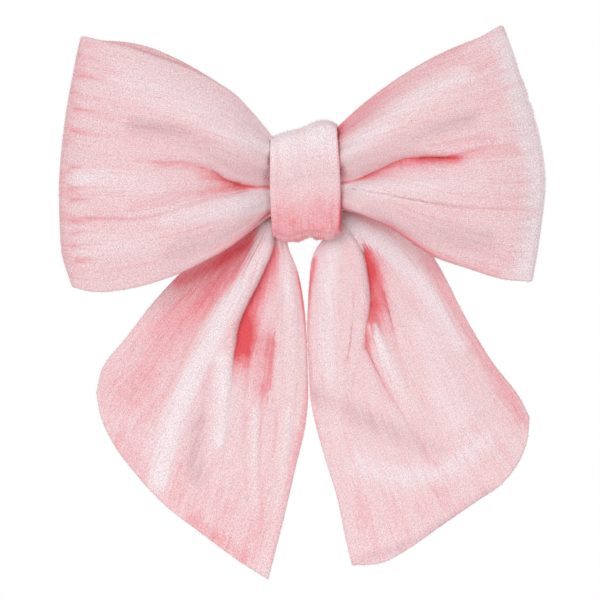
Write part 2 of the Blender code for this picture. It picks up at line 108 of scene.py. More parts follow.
# %% Smooth curves
def curve_at(points, fractions):
    """The curve through the points, read at fractions of its length."""
    p = np.array(points, float)
    knots = np.append(0, np.cumsum(np.linalg.norm(np.diff(p, axis=0), axis=1) ** 0.5))
    slope = np.gradient(p, knots, axis=0)
    fine = np.linspace(0, knots[-1], 40 * len(p))
    k = np.clip(np.searchsorted(knots, fine, side="right") - 1, 0, len(p) - 2)
    span = (knots[k + 1] - knots[k])[:, None]
    s = (fine - knots[k])[:, None] / span
    curve = (2 * s**3 - 3 * s**2 + 1) * p[k] + (3 * s**2 - 2 * s**3) * p[k + 1]
    curve += span * ((s**3 - 2 * s**2 + s) * slope[k] + (s**3 - s**2) * slope[k + 1])
    run = np.append(0, np.cumsum(np.linalg.norm(np.diff(curve, axis=0), axis=1)))
    at = np.asarray(fractions) * run[-1]
    return np.stack([np.interp(at, run, c) for c in curve.T], axis=1)


def coons(start, end, low, high, u, v):
    """A flat sheet between four edges, in x and z. u runs from start to end, v from low to high."""
    across, up = u[:, None, None], v[None, :, None]
    lows, highs = curve_at(low, u)[:, None, :], curve_at(high, u)[:, None, :]
    starts, ends = curve_at(start, v)[None], curve_at(end, v)[None]
    corners = [np.array(p, float) for p in (low[0], high[0], low[-1], high[-1])]
    flat = (1 - up) * lows + up * highs + (1 - across) * starts + across * ends
    flat -= (1 - across) * ((1 - up) * corners[0] + up * corners[1])
    flat -= across * ((1 - up) * corners[2] + up * corners[3])
    return flat


def smoothstep(x):
    x = np.clip(x, 0, 1)
    return x * x * (3 - 2 * x)


print("a quarter along a right angle:", curve_at([(0, 0), (1, 0), (1, 1)], [0.25])[0].round(2))

# %% [markdown]
# ## Creases and folds as strokes
# Cloth that is pinched in the middle falls into creases that start at the pinch and die out further on.
# They could be left to a cloth simulation alone, but then nobody chooses where they fall. Here each one
# is a stroke: a path, how deep it pushes the cloth in, and how wide it is on either side. A wide side and
# a narrow side make a fold that rolls over and drops away. A negative depth raises a ridge. The same
# stroke can also paint shade into the cloth's colour, or paint a highlight or a mauve shade on it.


# %% Strokes
def near(path, x, z):
    """Each point's distance from a path, its side (+1 is left of the path), and how far along it is."""
    marks = curve_at(path, np.linspace(0, 1, 28))
    nearest = np.full(x.shape, np.inf)
    side, along = np.zeros(x.shape), np.zeros(x.shape)
    for i in range(len(marks) - 1):
        (ax, az), (bx, bz) = marks[i], marks[i + 1]
        dx, dz = bx - ax, bz - az
        s = np.clip(((x - ax) * dx + (z - az) * dz) / (dx * dx + dz * dz + 1e-12), 0, 1)
        away = np.hypot(x - ax - s * dx, z - az - s * dz)
        closer = away < nearest
        nearest = np.where(closer, away, nearest)
        side = np.where(closer, np.sign(dx * (z - az) - dz * (x - ax)), side)
        along = np.where(closer, (i + s) / (len(marks) - 1), along)
    return nearest, side, along


def stroke(path, deep=0.0, wide=(1.0, 1.0), fade=(1.0, 0.0), tint=0.0, bright=0.0, soft=None):
    """wide is the reach on the left and right of the path, fade the strength at its start and end.

    soft is the reach of the painted shade and the painted light, where it differs from the depth's.
    """
    return dict(path=path, deep=deep, wide=wide, fade=fade, tint=tint, bright=bright, soft=soft or wide)


def falloff(away, side, reach):
    """A bell across the path, with its own reach on the left and on the right."""
    left, right = reach
    return np.exp(-((away / np.where(side > 0, left, right)) ** 2))


def draw(strokes, x, z):
    """All the strokes together at each point: depth in mm, painted shade and painted light."""
    depth, tint, bright = (np.zeros(x.shape) for _ in range(3))
    for s in strokes:
        away, side, along = near(s["path"], x, z)
        strength = s["fade"][0] + (s["fade"][1] - s["fade"][0]) * smoothstep(along)
        depth += s["deep"] * strength * falloff(away, side, s["wide"])
        shade = strength * falloff(away, side, s["soft"])
        tint += s["tint"] * shade
        bright += s["bright"] * shade
    return depth, tint, bright


across_a_stroke = draw([stroke([(0, 0), (10, 0)], 1.0, (1, 1), (1, 1))], np.full(3, 5.0), np.arange(3.0))[0]
print("a stroke's depth at 0, 1 and 2 mm from its path:", across_a_stroke.round(2))

# %% [markdown]
# ## A sewn tube of cloth
# Each strip is doubled: two skins of velvet, joined at its long edges by a rolled edge. So the mesh is
# made the same way. A middle surface carries the shape, and the two skins stand off it by half the
# thickness, closing in a half round at every edge. That gives real rounded edges where a Solidify
# modifier would leave a square one.

# %% A sewn tube
TUBE_HALF = 0.85
SAME_POINT = 1e-7  # in metres
BOW_STRIP_WIDTH = 62.0
TAIL_STRIP_WIDTH = 55.0
KNOT_STRIP_WIDTH = 17.0


def unit(vectors):
    return vectors / np.maximum(np.linalg.norm(vectors, axis=-1, keepdims=True), 1e-9)


def front_normals(middle, ring=False):
    """The middle surface's normals, turned so that its first rows face forward, to -y."""
    if ring:
        along = np.roll(middle, -1, axis=0) - np.roll(middle, 1, axis=0)
    else:
        along = np.gradient(middle, axis=0)
    normal = unit(np.cross(along, np.gradient(middle, axis=1)))
    return normal if normal[: len(normal) // 4, :, 1].mean() < 0 else -normal


def run_length(middle, axis):
    """Each point's distance from the first point along its row or column."""
    steps = np.linalg.norm(np.diff(middle, axis=axis), axis=2)
    pad = [(0, 0), (0, 0)]
    pad[axis] = (1, 0)
    return np.cumsum(np.pad(steps, pad), axis=axis)


def edge_spaced(count, width):
    """Fractions across a strip, close together where its edges roll."""
    close = np.array([0, 0.12, 0.35, 0.7, 1.15]) * TUBE_HALF / width
    inside = np.linspace(close[-1], 1 - close[-1], count)
    return np.concatenate([close[:-1], inside, 1 - close[:-1][::-1]])


def sewn_tube(name, middle, cloth_width, fields, half=TUBE_HALF, ring=False):
    """The closed mesh round a middle surface, in metres, with its cloth map and its point values.

    A field is one array for both skins, or a pair for the outer and the inner one.
    """
    normal = front_normals(middle, ring)
    across = run_length(middle, 1)
    edge = np.minimum(across, across[:, -1:] - across)
    if not ring:
        down = run_length(middle, 0)
        edge = np.minimum(edge, np.minimum(down, down[-1:] - down))
    stand = half * np.sqrt(1 - np.clip(1 - edge / half, 0, 1) ** 2)
    skins = [middle + normal * stand[..., None], middle - normal * stand[..., None]]
    rows, columns = middle.shape[:2]
    points = np.concatenate([skin.reshape(-1, 3) for skin in skins]) * MM
    i, j = np.meshgrid(np.arange(rows if ring else rows - 1), np.arange(columns - 1), indexing="ij")
    after = (i + 1) % rows
    here, there = i * columns + j, after * columns + j
    quads = np.stack([here, here + 1, there + 1, there], -1).reshape(-1, 4)
    faces = np.concatenate([quads, quads[:, ::-1] + rows * columns])
    mesh = bpy.data.meshes.new(name)
    mesh.from_pydata(points, [], faces.tolist())

    length = run_length(middle, 0)[:, columns // 2]
    share = across / np.maximum(across[:, -1:], 1e-9)
    plan = np.stack([np.broadcast_to(length[:, None], share.shape), share * cloth_width], -1)
    plan = np.concatenate([plan.reshape(-1, 2)] * 2) * MM
    corners = np.array([loop.vertex_index for loop in mesh.loops])
    mesh.uv_layers.new(name="cloth").data.foreach_set("uv", plan[corners].ravel())
    for key, value in fields.items():
        layer = mesh.attributes.new(key, "FLOAT", "POINT")
        outer, inner = value if isinstance(value, tuple) else (value, value)
        layer.data.foreach_set("value", np.concatenate([outer.ravel(), inner.ravel()]).astype(np.float32))

    shape = bmesh.new()
    shape.from_mesh(mesh)
    bmesh.ops.remove_doubles(shape, verts=shape.verts, dist=SAME_POINT)
    bmesh.ops.recalc_face_normals(shape, faces=shape.faces)
    if shape.calc_volume(signed=True) < 0:
        bmesh.ops.reverse_faces(shape, faces=shape.faces)
    volume = shape.calc_volume()
    shape.to_mesh(mesh)
    shape.free()
    mesh.shade_smooth()
    piece = bpy.data.objects.new(name, mesh)
    bpy.context.scene.collection.objects.link(piece)
    print(name, "has", len(mesh.polygons), "faces and", round(volume * 1e6, 2), "ml of cloth")
    return piece


# %% [markdown]
# ## The loops
# One strip runs round both loops and under the knot. Seen from the side, each loop is a long drop: it
# leaves the knot pinched flat, swells over the front, turns back in a soft nose at the fold, and returns
# almost straight behind. That profile is one curve, and the four outline edges say how far it reaches.
# A Coons sheet fills the outline, which is how a pattern cutter would think of it: know the edges, and
# the middle follows.

# %% The loops' outlines
LOOP_PROFILE = [  # share of the reach, and y in mm
    (0.0, -18.95),
    (0.06, -19.1),
    (0.1, -19.9),
    (0.145, -21.3),
    (0.21, -23.8),
    (0.31, -26.6),
    (0.48, -28.9),
    (0.66, -29.9),
    (0.84, -29.2),
    (0.95, -27.4),
    (1.0, -24.8),
    (0.955, -22.6),
    (0.84, -20.9),
    (0.5, -18.9),
    (0.2, -17.7),
    (0.0, -16.95),
]
LOOP_LENGTH = 59.0
LOOP_ROWS = 200
LOOP_COLUMNS = 100
LOOP_OUTLINES = {
    "left": {
        "low": [
            (-0.3, -7.4), (-4.5, -7.4), (-9, -8.5), (-19, -15.8), (-26.7, -20), (-34, -23.4),
            (-43.8, -26.2), (-52, -27), (-57, -26),
        ],
        "high": [
            (-0.3, 9), (-4.5, 9.2), (-8.9, 10.4), (-10.8, 13), (-13.6, 16.8), (-19, 22.5), (-28.7, 28),
            (-36, 31), (-46, 34.4), (-55, 36),
        ],
        "fold": [(-57, -26), (-59.4, -16), (-60.3, -2), (-59, 14), (-57.2, 25), (-55, 36)],
    },
    "right": {
        "low": [
            (0.3, -7.4), (4.5, -6.8), (9, -6.9), (18.8, -10), (25, -14.2), (30.9, -18.1), (39.6, -21.2),
            (48, -23.8), (54.8, -24.5),
        ],
        "high": [
            (0.3, 9), (4.2, 10.4), (7.8, 13.8), (12.6, 18.3), (20.5, 24.5), (28.2, 29.2), (37.6, 33.9),
            (47.6, 38.6),
        ],
        "fold": [(54.8, -24.5), (56.8, -12), (58, 0.5), (56.8, 10.1), (54.2, 20), (50.8, 30), (47.6, 38.6)],
    },
}
for side_name, outline in LOOP_OUTLINES.items():
    reach = max(abs(x) for x, z in outline["fold"])
    print("the", side_name, "loop reaches", reach, "mm")

# %% [markdown]
# ### The creases of the loops
# The pinch parts each loop into an upper and a lower lobe. Between them runs the deep crease, narrow and
# strong at the knot, open and shallow further out. The lobes carry a painted silvery highlight, and the
# crease and the lobes' undersides a painted deep coral and mauve shade. Along the fold the strip is bent
# hard round, so short wrinkles run in from it, each with a little painted shade.

# %% The creases of the loops
LEFT_STROKES = [
    # the deep crease between the lobes, first as a broad valley and then as its sharp root, with painted
    # coral shade in it
    stroke([(-6, -1.2), (-19, 1.5), (-32, 4.5), (-46, 4)], 3.4, (6.5, 5), (1.1, 0)),
    stroke(
        [(-6, -1), (-13, -0.6), (-19, 1.0), (-23, 3.2), (-27, 4.7), (-34, 5.2)],
        2.6, (1.7, 0.8), (1, 0.2), 0.7, soft=(1.0, 0.4),
    ),
    stroke(
        [(-15, 0.2), (-20, 1.2), (-24, 2.6), (-29, 4.2), (-36, 4.9)],
        tint=1.0, soft=(2.4, 0.5), fade=(0.75, 0.3),
    ),
    stroke([(-26.5, 0.8), (-17.8, 0.2), (-12, -0.8)], 0.7, (0.7, 0.9), (0.2, 1), 0.5),
    # the upper lobe rolls over the crease: a painted silvery highlight on top, painted shade where it turns
    # under
    stroke([(-10, 1.8), (-16.6, 4.8), (-24, 8.7), (-31.4, 10.6), (-40, 12)], -1.7, (1.8, 6), (1, 0.2)),
    stroke(
        [(-11, 7.4), (-20, 12), (-30, 18.5), (-44, 26)],
        -0.8, (6, 6), (1, 0.6), bright=0.9, soft=(4.5, 6),
    ),
    stroke([(-12, 4.6), (-20, 8), (-30, 12.4), (-42, 14.2)], bright=-1.2, soft=(2.6, 1.8), fade=(0.7, 1)),
    # painted coral shade in the wedge under the crease, and the ridge with its painted highlight and pull
    # line
    stroke(
        [(-14, -1.8), (-24, -2.2), (-33, -3.6), (-42, -5.6)],
        1.1, (1.8, 1.6), (0.9, 0.3), 0.6, soft=(1.6, 1.4),
    ),
    stroke([(-8, -3.8), (-20, -6.2), (-34, -9)], -1.1, (1.7, 2.6), (1, 0.3), bright=2.3, soft=(2.6, 2.2)),
    stroke(
        [(-9, -3.0), (-24.7, -4.9), (-40, -8.9), (-54, -8.7)],
        0.45, (0.45, 0.45), (0.5, 1), 0.35, soft=(0.5, 0.6),
    ),
    # a soft hollow across the middle of the loop, painted highlights and painted mauve shade on the lower
    # lobe, and painted shade along its lower edge by the knot
    stroke([(-30, 8), (-44, 11)], 0.9, (4, 5), (0.6, 0.8), 0.1),
    stroke([(-38, -1), (-47, 1), (-56, 1)], bright=0.8, soft=(3, 2.4), fade=(0.6, 1)),
    stroke([(-36, -15), (-46, -15.6), (-55, -16)], -0.8, (6, 5), (0.6, 1), bright=0.5, soft=(3, 3)),
    stroke([(-14, -9), (-24, -13.6), (-34, -17)], bright=-0.7, soft=(2.6, 2.6), fade=(0.7, 1)),
    stroke([(-9, -7), (-20, -13.5), (-30, -19)], 1.0, (1.5, 1.5), (0.8, 0.2), 0.25),
    stroke([(-8.5, -8.2), (-19, -15.6), (-33, -23)], tint=1.0, soft=(0.6, 0.9), fade=(1, 0.1)),
    # a rosier tone painted along the fold
    stroke([(-57.5, -20), (-60.5, -2), (-56, 35)], tint=0.22, soft=(3.2, 3.2), fade=(1, 1)),
]
RIGHT_STROKES = [
    # as on the left: painted coral shade in the crease and under the lobes, painted silvery highlights and
    # painted mauve shade on the lobes, and a painted sheen along the fold
    stroke([(6, 0), (17, 3.6), (28, 6.4), (44, 8)], 3.4, (5, 6), (1.1, 0)),
    stroke(
        [(6, -0.4), (9, 0.2), (17, 3.4), (23.8, 6.1), (28, 6.5), (33, 6.3)],
        2.4, (0.8, 2.0), (1, 0.4), 0.6, soft=(0.4, 0.9),
    ),
    stroke([(13, 1.6), (20, 4.4), (27, 6.2), (36, 6.4)], tint=1.15, soft=(0.6, 2.6), fade=(0.7, 0.75)),
    stroke([(28, 5.9), (36, 6.2), (43, 8.2), (51, 8.8)], 1.2, (1.2, 1.8), (1, 0.3), 0.7, soft=(0.8, 2.1)),
    stroke([(21, 8.6), (33, 9.4), (46, 11)], 0.3, (1.1, 1.1), (0.2, 1), 0.35),
    stroke([(10, 3.5), (19, 7.2), (28, 9.6), (38, 11)], -1.7, (6, 1.8), (1, 0.1)),
    stroke([(9, 6.4), (18, 13), (28, 20.5), (38, 26)], -0.8, (5, 4), (1, 0.7), bright=1.1, soft=(2.6, 2.8)),
    stroke([(12, 4.6), (24, 10), (40, 15.4)], bright=-0.9, soft=(2.6, 2.2), fade=(0.5, 1)),
    stroke([(8, 13), (20, 22), (36, 31.5)], 0.5, (3, 4), (1, 0.5), 0.5, soft=(3, 3.6)),
    stroke(
        [(8, -1.6), (16, -1.6), (28, -1.4), (42, 0)],
        -1.2, (2.2, 3), (1, 0.2), bright=1.4, soft=(2.0, 2.6),
    ),
    stroke(
        [(9, -1.8), (17, -2.6), (28, -4.6), (38, -6.2), (56, -6.7)],
        0.45, (0.45, 0.45), (1, 0.7), 0.3, soft=(0.5, 0.5),
    ),
    stroke([(16, -7), (28, -11), (44, -14)], bright=-0.8, soft=(3, 4), fade=(0.6, 1)),
    stroke([(42, 23), (50, 26)], 0.4, (3, 3), (0.5, 1), 0.12, soft=(5, 5)),
    stroke([(20, -11.5), (33, -19.2), (46, -22.6)], 0.3, (2, 2), (1, 0.6), 0.55, soft=(2.4, 2)),
    stroke([(8.6, -6.8), (18.8, -10), (31, -18.2)], tint=1.0, soft=(0.8, 0.6), fade=(1, 0.5)),
    stroke([(54.4, -22), (57, 0), (49, 34)], bright=1.5, soft=(3.2, 3.2), fade=(1, 1)),
]
FOLD_WRINKLES = {  # height at the fold, how far in it runs, and how it slopes
    "left": [
        (26, 9, -1.6), (18, 12, -3.8), (12.6, 8, -2), (3.5, 6, 1), (-1.5, 9, 0.5), (-4.5, 6, 0.8),
        (-9.5, 12, 0.2), (-12.6, 9, 1.4), (-15.4, 12, 1.1), (-19, 7, 1),
    ],
    "right": [
        (20, 5, -1), (15, 7, -0.5), (11.5, 9, -0.8), (7, 8, 1), (3, 7, 0.3), (0, 8, 0.4), (-3.5, 8, 0.2),
        (-9.5, 9, 0.6), (-12, 12, 0.3), (-14.5, 8, 0.8), (-17.5, 9, 0.4), (-20, 6, 0.6),
    ],
}
SEAM_PLACE = 0.5  # where the tube's seam runs, half way up the back layer
SEAM_GROOVE = 0.45
GATHER_COUNT = 5.5  # gathers across a loop where the knot pinches it
FRONT_DROP = 0.7  # how far the front layer sits below the outline near the upper corner


def fold_wrinkles(side_name, reach):
    side = -1 if side_name == "left" else 1
    made = []
    for height, inward, drop in FOLD_WRINKLES[side_name]:
        lean = 4.5 * (height / 36) ** 2 if height > 0 else 4 * (height / 26) ** 2
        out = side * (reach - lean - 2.5)
        half_way = (out - side * inward / 2, height + 0.35 * drop)
        path = [(out, height), half_way, (out - side * inward, height + drop)]
        # each wrinkle takes a little painted shade, more on the left loop
        made.append(stroke(path, 0.42, (0.7, 0.8), (1, 0), 0.42 if side < 0 else 0.16))
    return made


print("creases:", len(LEFT_STROKES), "left,", len(RIGHT_STROKES), "right")
print("wrinkles along the fold:", {side_name: len(rows) for side_name, rows in FOLD_WRINKLES.items()})

# %% [markdown]
# ### Making a loop
# The Coons sheet gives every point its place seen from the front, and the profile gives its depth. The
# strokes then push the front layer in and out along its normals. The back layer takes only a few soft
# creases and the groove of its seam. Near the knot both layers carry the same row of gathers.


# %% The loops
def loop(side_name, strokes, back_rise):
    outline = LOOP_OUTLINES[side_name]
    ring = curve_at([(share * LOOP_LENGTH, y) for share, y in LOOP_PROFILE], np.linspace(0, 1, LOOP_ROWS))
    u = np.clip(ring[:, 0] / LOOP_LENGTH, 0, 1)
    fold_row = int(u.argmax())
    v = edge_spaced(LOOP_COLUMNS, BOW_STRIP_WIDTH)
    start = [outline["low"][0], outline["high"][0]]
    plan = coons(start, outline["fold"], outline["low"], outline["high"], u, v)
    rows = np.arange(LOOP_ROWS)
    back = smoothstep((rows - fold_row) / (0.16 * LOOP_ROWS))[:, None]
    # near its upper corner the front layer sits a little low, and the back layer shows above it
    corner = smoothstep((u - 0.3) / 0.5) * (1 - smoothstep((u - 0.88) / 0.12))
    rise = back * back_rise - (1 - back) * FRONT_DROP
    x, z = plan[..., 0], plan[..., 1] + rise * corner[:, None] * v[None, :] ** 6

    # The loop is fullest along its middle and closes towards its long edges.
    centre = -17.8 - 6.2 * u[:, None]
    fullness = 0.5 + 0.5 * (1 - np.abs(2 * v - 1) ** 3.2)[None, :]
    y = centre + (ring[:, 1:] - centre) * fullness
    middle = np.stack([x, y, z], -1)
    normal = front_normals(middle)

    depth, tint, bright = draw(strokes, x, z)
    front = 1 - back
    gathers = 0.5 * np.cos(2 * math.pi * GATHER_COUNT * v)[None, :] * np.exp(-((u / 0.2) ** 2))[:, None]
    # soft creases on the back layer, each with a little painted shade
    behind = [
        stroke([(0, z0), (side * 30, 2.2 * z0), (side * 55, 3 * z0)], 0.9, (1.6, 1.6), (1, 0.1), 0.3)
        for z0 in (-5, 0.5, 6)
        for side in (-1, 1)
    ]
    back_depth, back_crease_shade, _ = draw(behind, x, z)
    groove = SEAM_GROOVE * np.exp(-(((v - SEAM_PLACE) * BOW_STRIP_WIDTH / 0.5) ** 2))[None, :]
    depth = front * depth + back * (back_depth + groove) + gathers
    room = np.maximum(0.85 * np.abs(ring[:, 1:] - centre), 0.6)
    depth = np.where(depth > 0, room * np.tanh(depth / room), depth)
    # painted shade where the loop pinches into the knot and in the back layer's creases; painted light on the
    # front layer only
    pinch_shade = 0.35 * np.exp(-(((np.abs(x) - 8.4) / 1.1) ** 2))
    tint = front * (tint + pinch_shade) + back * (back_crease_shade + 0.12)
    middle -= normal * depth[..., None]
    outside = np.ones(x.shape)
    fields = {"tint": (tint, 0.4 * tint + 0.25), "bright": (front * bright, 0 * bright)}
    fields["pile"] = (outside, 0 * outside)
    return sewn_tube(side_name + "_loop", middle, BOW_STRIP_WIDTH, fields), middle


left_loop, left_middle = loop("left", LEFT_STROKES + fold_wrinkles("left", 60.4), 1.6)
right_loop, right_middle = loop("right", RIGHT_STROKES + fold_wrinkles("right", 58), 0.3)

# %% [markdown]
# ## The tails
# The second strip hangs down in two tails, cut on the slant. Each is gathered to almost nothing under
# the knot and opens out below, so it keeps a fold that starts at the knot: on the left one a flap lies
# over the rest of the tail, on the right one two petals part round a deep hollow. The tails hang behind
# the loops, so everything near the top stays shallow, and the folds deepen only lower down.

# %% The tails' outlines
TAIL_ROWS = 180
TAIL_COLUMNS = 116
TAIL_TOP = -4.0
TAIL_DEPTHS = [(0, -12.4), (8, -12.9), (24, -12.6), (45, -14.4), (70, -14.8), (100, -13.2)]  # down, and y
TAIL_OUTLINES = {
    "left": {
        "outer": [
            (-5.5, -3.5), (-12, -7), (-21, -12.5), (-31.4, -22.2), (-38.1, -29.4), (-44.8, -38.1),
            (-50.6, -45.5), (-52.3, -52),
        ],
        "inner": [
            (-2, -7), (-4.6, -10.5), (-4.9, -14.5), (-4.3, -17), (-2.4, -21.5), (-0.9, -28.9), (-0.2, -36),
            (0.25, -47.5), (0.3, -54), (-0.5, -61), (-2.7, -70.3), (-6, -84.4), (-9.6, -98.6),
        ],
        "hem": [
            (-52.3, -52), (-51, -58.5), (-47.5, -65.6), (-42.6, -72), (-35.4, -79.8), (-25.7, -87.3),
            (-17.3, -93.6), (-9.6, -98.6),
        ],
    },
    "right": {
        "outer": [
            (5.5, -2), (12, -3.5), (21, -7.5), (28.6, -14.2), (33.2, -21), (39.6, -33.4), (46.3, -44.5),
            (52.4, -52.4), (55.4, -58),
        ],
        "inner": [
            (2, -7), (4.6, -10.2), (4.8, -13.4), (2.5, -16.2), (1.3, -18.8), (0.6, -24.7), (0.1, -36),
            (0.55, -47.5), (0.9, -54), (2.2, -60), (4.5, -68.3), (7.4, -77.7), (9.4, -87.3), (11.2, -95),
        ],
        "hem": [
            (55.4, -58), (54.6, -64.5), (52, -70.3), (48, -75), (42.3, -78.9), (32.9, -85.4),
            (24.5, -91.3), (18.4, -94.4), (11.2, -95),
        ],
    },
}
for side_name, outline in TAIL_OUTLINES.items():
    print("the", side_name, "tail hangs to", min(z for x, z in outline["hem"]), "mm")

# %% [markdown]
# ### The creases of the tails
# A tail's folds start at the knot and run down with the strip. The flap's edge is a one-sided stroke:
# almost no reach on its free side and a long one under the flap, so the cloth stands up sharply and
# falls away gently. The deep colour beside it is painted shade.

# %% The creases of the tails
TAIL_STROKES = {
    "left": [
        # the flap's free edge, its roll with a painted highlight, and the painted shade that it throws
        stroke(
            [
                (-9, -9.5), (-9.6, -16.4), (-11.4, -20.5), (-13.3, -24.8), (-15.6, -29.4), (-17.6, -34.2),
                (-18.6, -38), (-19.6, -48), (-20.4, -60),
            ],
            -3.4, (0.35, 11), (1, 0.1),
        ),
        stroke(
            [(-8.9, -16.6), (-12.7, -24.8), (-15.0, -29.4), (-17.2, -35), (-17.8, -38)],
            1.2, (3.0, 0.8), (0.5, 1), 1.5, soft=(4.0, 0.3),
        ),
        stroke([(-17.8, -38), (-18.7, -44), (-19.2, -52)], tint=1.2, soft=(3.4, 0.3), fade=(1, 0)),
        stroke([(-15.6, -36), (-15, -42), (-13.4, -50)], tint=0.55, soft=(3.4, 3), fade=(1, 0.2)),
        stroke(
            [
                (-10.4, -11), (-12, -17.6), (-15, -23.4), (-18.6, -29), (-22.4, -36), (-27, -45),
                (-31.5, -56), (-35, -66), (-36.5, -74),
            ],
            -0.7, (2.0, 2.6), (1, 0.8), bright=1.7, soft=(2.3, 2.6),
        ),
        stroke(
            [(-20.8, -44), (-20.6, -54), (-22, -64)],
            -0.7, (1.8, 1.8), (0.8, 0.6), bright=1.5, soft=(1.9, 2.2),
        ),
        # the inner strip's ridge with a painted highlight, its dimple in painted shade, and painted shade
        # along its inner edge
        stroke(
            [(-5.8, -15), (-5.2, -22), (-4.2, -29), (-3.8, -40), (-4.2, -52)],
            -1.0, (1.4, 1.6), (1, 0.2), bright=1.2, soft=(1.2, 1.5),
        ),
        stroke(
            [(-8.0, -39.5), (-8.6, -44.4), (-9.2, -51)],
            0.8, (0.8, 2.2), (0.8, 0.6), 1.0, soft=(0.8, 3.4),
        ),
        stroke([(-2, -22), (-0.6, -34), (0.2, -46), (-0.8, -60)], tint=0.75, soft=(0.9, 0.9), fade=(1, 0.5)),
        # deeper colour outside the flap, painted shade under the loop's edge, a hollow in the middle with
        # painted mauve shade, small creases in painted shade and ridges with painted highlights, and a rosier
        # tone along the hem
        stroke([(-15, -17.5), (-30, -34), (-42, -52)], 0.5, (7, 7), (1, 0.5), 0.75, soft=(6, 7.5)),
        stroke([(-12, -13.5), (-20, -18.4), (-32, -25)], tint=0.6, soft=(1.6, 2.6), fade=(1, 0.9)),
        stroke(
            [(-26.5, -60), (-27.5, -67), (-27, -73)],
            1.2, (3.4, 3.4), (0.8, 0.7), bright=-1.3, soft=(2.6, 2.6),
        ),
        stroke(
            [(-23.8, -46), (-25.4, -52), (-26, -58)],
            0.7, (1.2, 1.2), (0.8, 0.6), bright=-0.7, soft=(1.2, 1.2),
        ),
        stroke([(-28, -84), (-22, -88.5), (-16, -93)], tint=0.45, soft=(2.2, 2.2), fade=(0.9, 0.7)),
        stroke([(-30, -74), (-22, -80), (-12, -88)], tint=0.15, soft=(6, 6), fade=(1, 1)),
        stroke([(-48, -63), (-40, -73), (-30, -81)], tint=0.2, soft=(3, 3), fade=(1, 0.5)),
        stroke([(-14, -42), (-15.5, -58), (-15, -78)], 0.35, (0.8, 0.8), (1, 0.3), 0.25),
        stroke([(-11, -50), (-11.6, -66), (-11, -86)], 0.3, (0.7, 0.7), (1, 0.3), 0.25),
        stroke([(-7.5, -56), (-8, -70), (-9.4, -88)], 0.3, (0.7, 0.7), (0.8, 0.3), 0.2),
        stroke([(-12.8, -56), (-13.2, -70), (-12.6, -86)], -0.3, (0.8, 0.8), (0.8, 0.3), bright=0.7),
        stroke([(-4.6, -56), (-6, -72), (-8.6, -88)], -0.4, (1.1, 1.1), (0.8, 0.3), bright=0.6),
        stroke([(-2, -62), (-5, -78), (-8.6, -94)], tint=0.3, soft=(1.2, 1.2), fade=(1, 0.6)),
    ],
    "right": [
        # the inner petal's free edge, the deep hollow beside it in painted coral shade, a ridge with a
        # painted highlight, and painted shade along the inner edge
        stroke(
            [
                (8.4, -11), (11.9, -15.6), (13.6, -20), (14.4, -25), (14.7, -30.4), (13.4, -38.8),
                (11.9, -46),
            ],
            -3.0, (0.35, 8), (0.9, 0.1),
        ),
        stroke(
            [(13.8, -17.8), (14.5, -22), (15.2, -29), (14.2, -38)],
            1.3, (2.8, 0.8), (0.9, 0.4), 1.6, soft=(3.4, 0.3),
        ),
        stroke([(16.4, -31), (17, -38), (16.4, -44)], tint=0.5, soft=(2.4, 2), fade=(1, 0.2)),
        stroke([(16.6, -21), (18.6, -28), (19.2, -36)], 0.7, (2.6, 2.6), (0.9, 0.3), 0.5, soft=(2.2, 2.2)),
        stroke(
            [(6.5, -16), (5.2, -26), (5, -38), (6, -50), (8, -60)],
            -0.8, (2.4, 2.6), (0.8, 0.3), bright=1.5, soft=(2.4, 2.0),
        ),
        stroke([(11.8, -27), (11.4, -35), (10.2, -44)], 0.3, (0.5, 0.5), (0.6, 1), 0.35, soft=(0.6, 0.6)),
        stroke([(2, -19), (0.7, -28), (0.6, -40), (1.8, -54)], tint=0.7, soft=(0.8, 0.8), fade=(1, 0.4)),
        # the rolled fold just under the loop, lit by a painted highlight, then creases in painted shade and
        # ridges with painted highlights
        stroke(
            [(11, -10.5), (18, -14.4), (25, -20), (32, -30), (38, -40)],
            -0.9, (2.2, 2.8), (1, 0.4), bright=2.2, soft=(2, 2.6),
        ),
        stroke([(19.4, -27), (22.2, -38.8), (24.6, -49)], 0.8, (0.8, 0.9), (1, 0.1), 0.5, soft=(0.7, 1.2)),
        stroke(
            [(14.3, -40.1), (20.5, -52.4), (28, -63.6), (31.6, -72)],
            0.7, (0.8, 0.9), (1, 0.2), 0.4, soft=(0.7, 1.0),
        ),
        stroke(
            [(16.2, -36), (20.4, -45), (26, -56)],
            -0.9, (1.6, 1.6), (1, 0.2), bright=1.4, soft=(1.4, 1.6),
        ),
        stroke([(29, -36), (33, -48), (38, -58)], -0.8, (4, 5), (0.6, 0.8), bright=0.8, soft=(3, 4)),
        # a rosier tone along the outer edge, and bands of painted highlight and painted shade across the open
        # end
        stroke([(30, -19), (36, -29), (45, -44), (54, -58)], 0.4, (2, 3), (0.9, 1), 0.42, soft=(2, 3)),
        stroke(
            [(3.6, -53), (12, -57.5), (20.5, -61.5), (32, -67)],
            0.5, (4, 4), (0.8, 0.6), bright=-1.1, soft=(3.2, 3),
        ),
        stroke(
            [(13, -70), (24, -73), (36, -70), (44, -64)],
            -0.3, (3, 3), (0.8, 0.8), bright=0.9, soft=(3, 3),
        ),
        stroke([(30, -74), (34, -80)], 0.3, (0.8, 0.8), (1, 0.4), 0.15),
        stroke([(14, -82), (24, -82), (36, -77)], tint=0.1, soft=(5, 5), fade=(1, 1)),
        stroke([(12, -94), (26, -89), (46, -76)], bright=-0.8, soft=(1.4, 1.4), fade=(1, 1)),
    ],
}
print("creases on the tails:", {side_name: len(strokes) for side_name, strokes in TAIL_STROKES.items()})

# %% [markdown]
# ### Making a tail
# A tail is one doubled strip, so it is a single Coons sheet, arched across where it opens out. Its
# strokes work as the loops' strokes do.


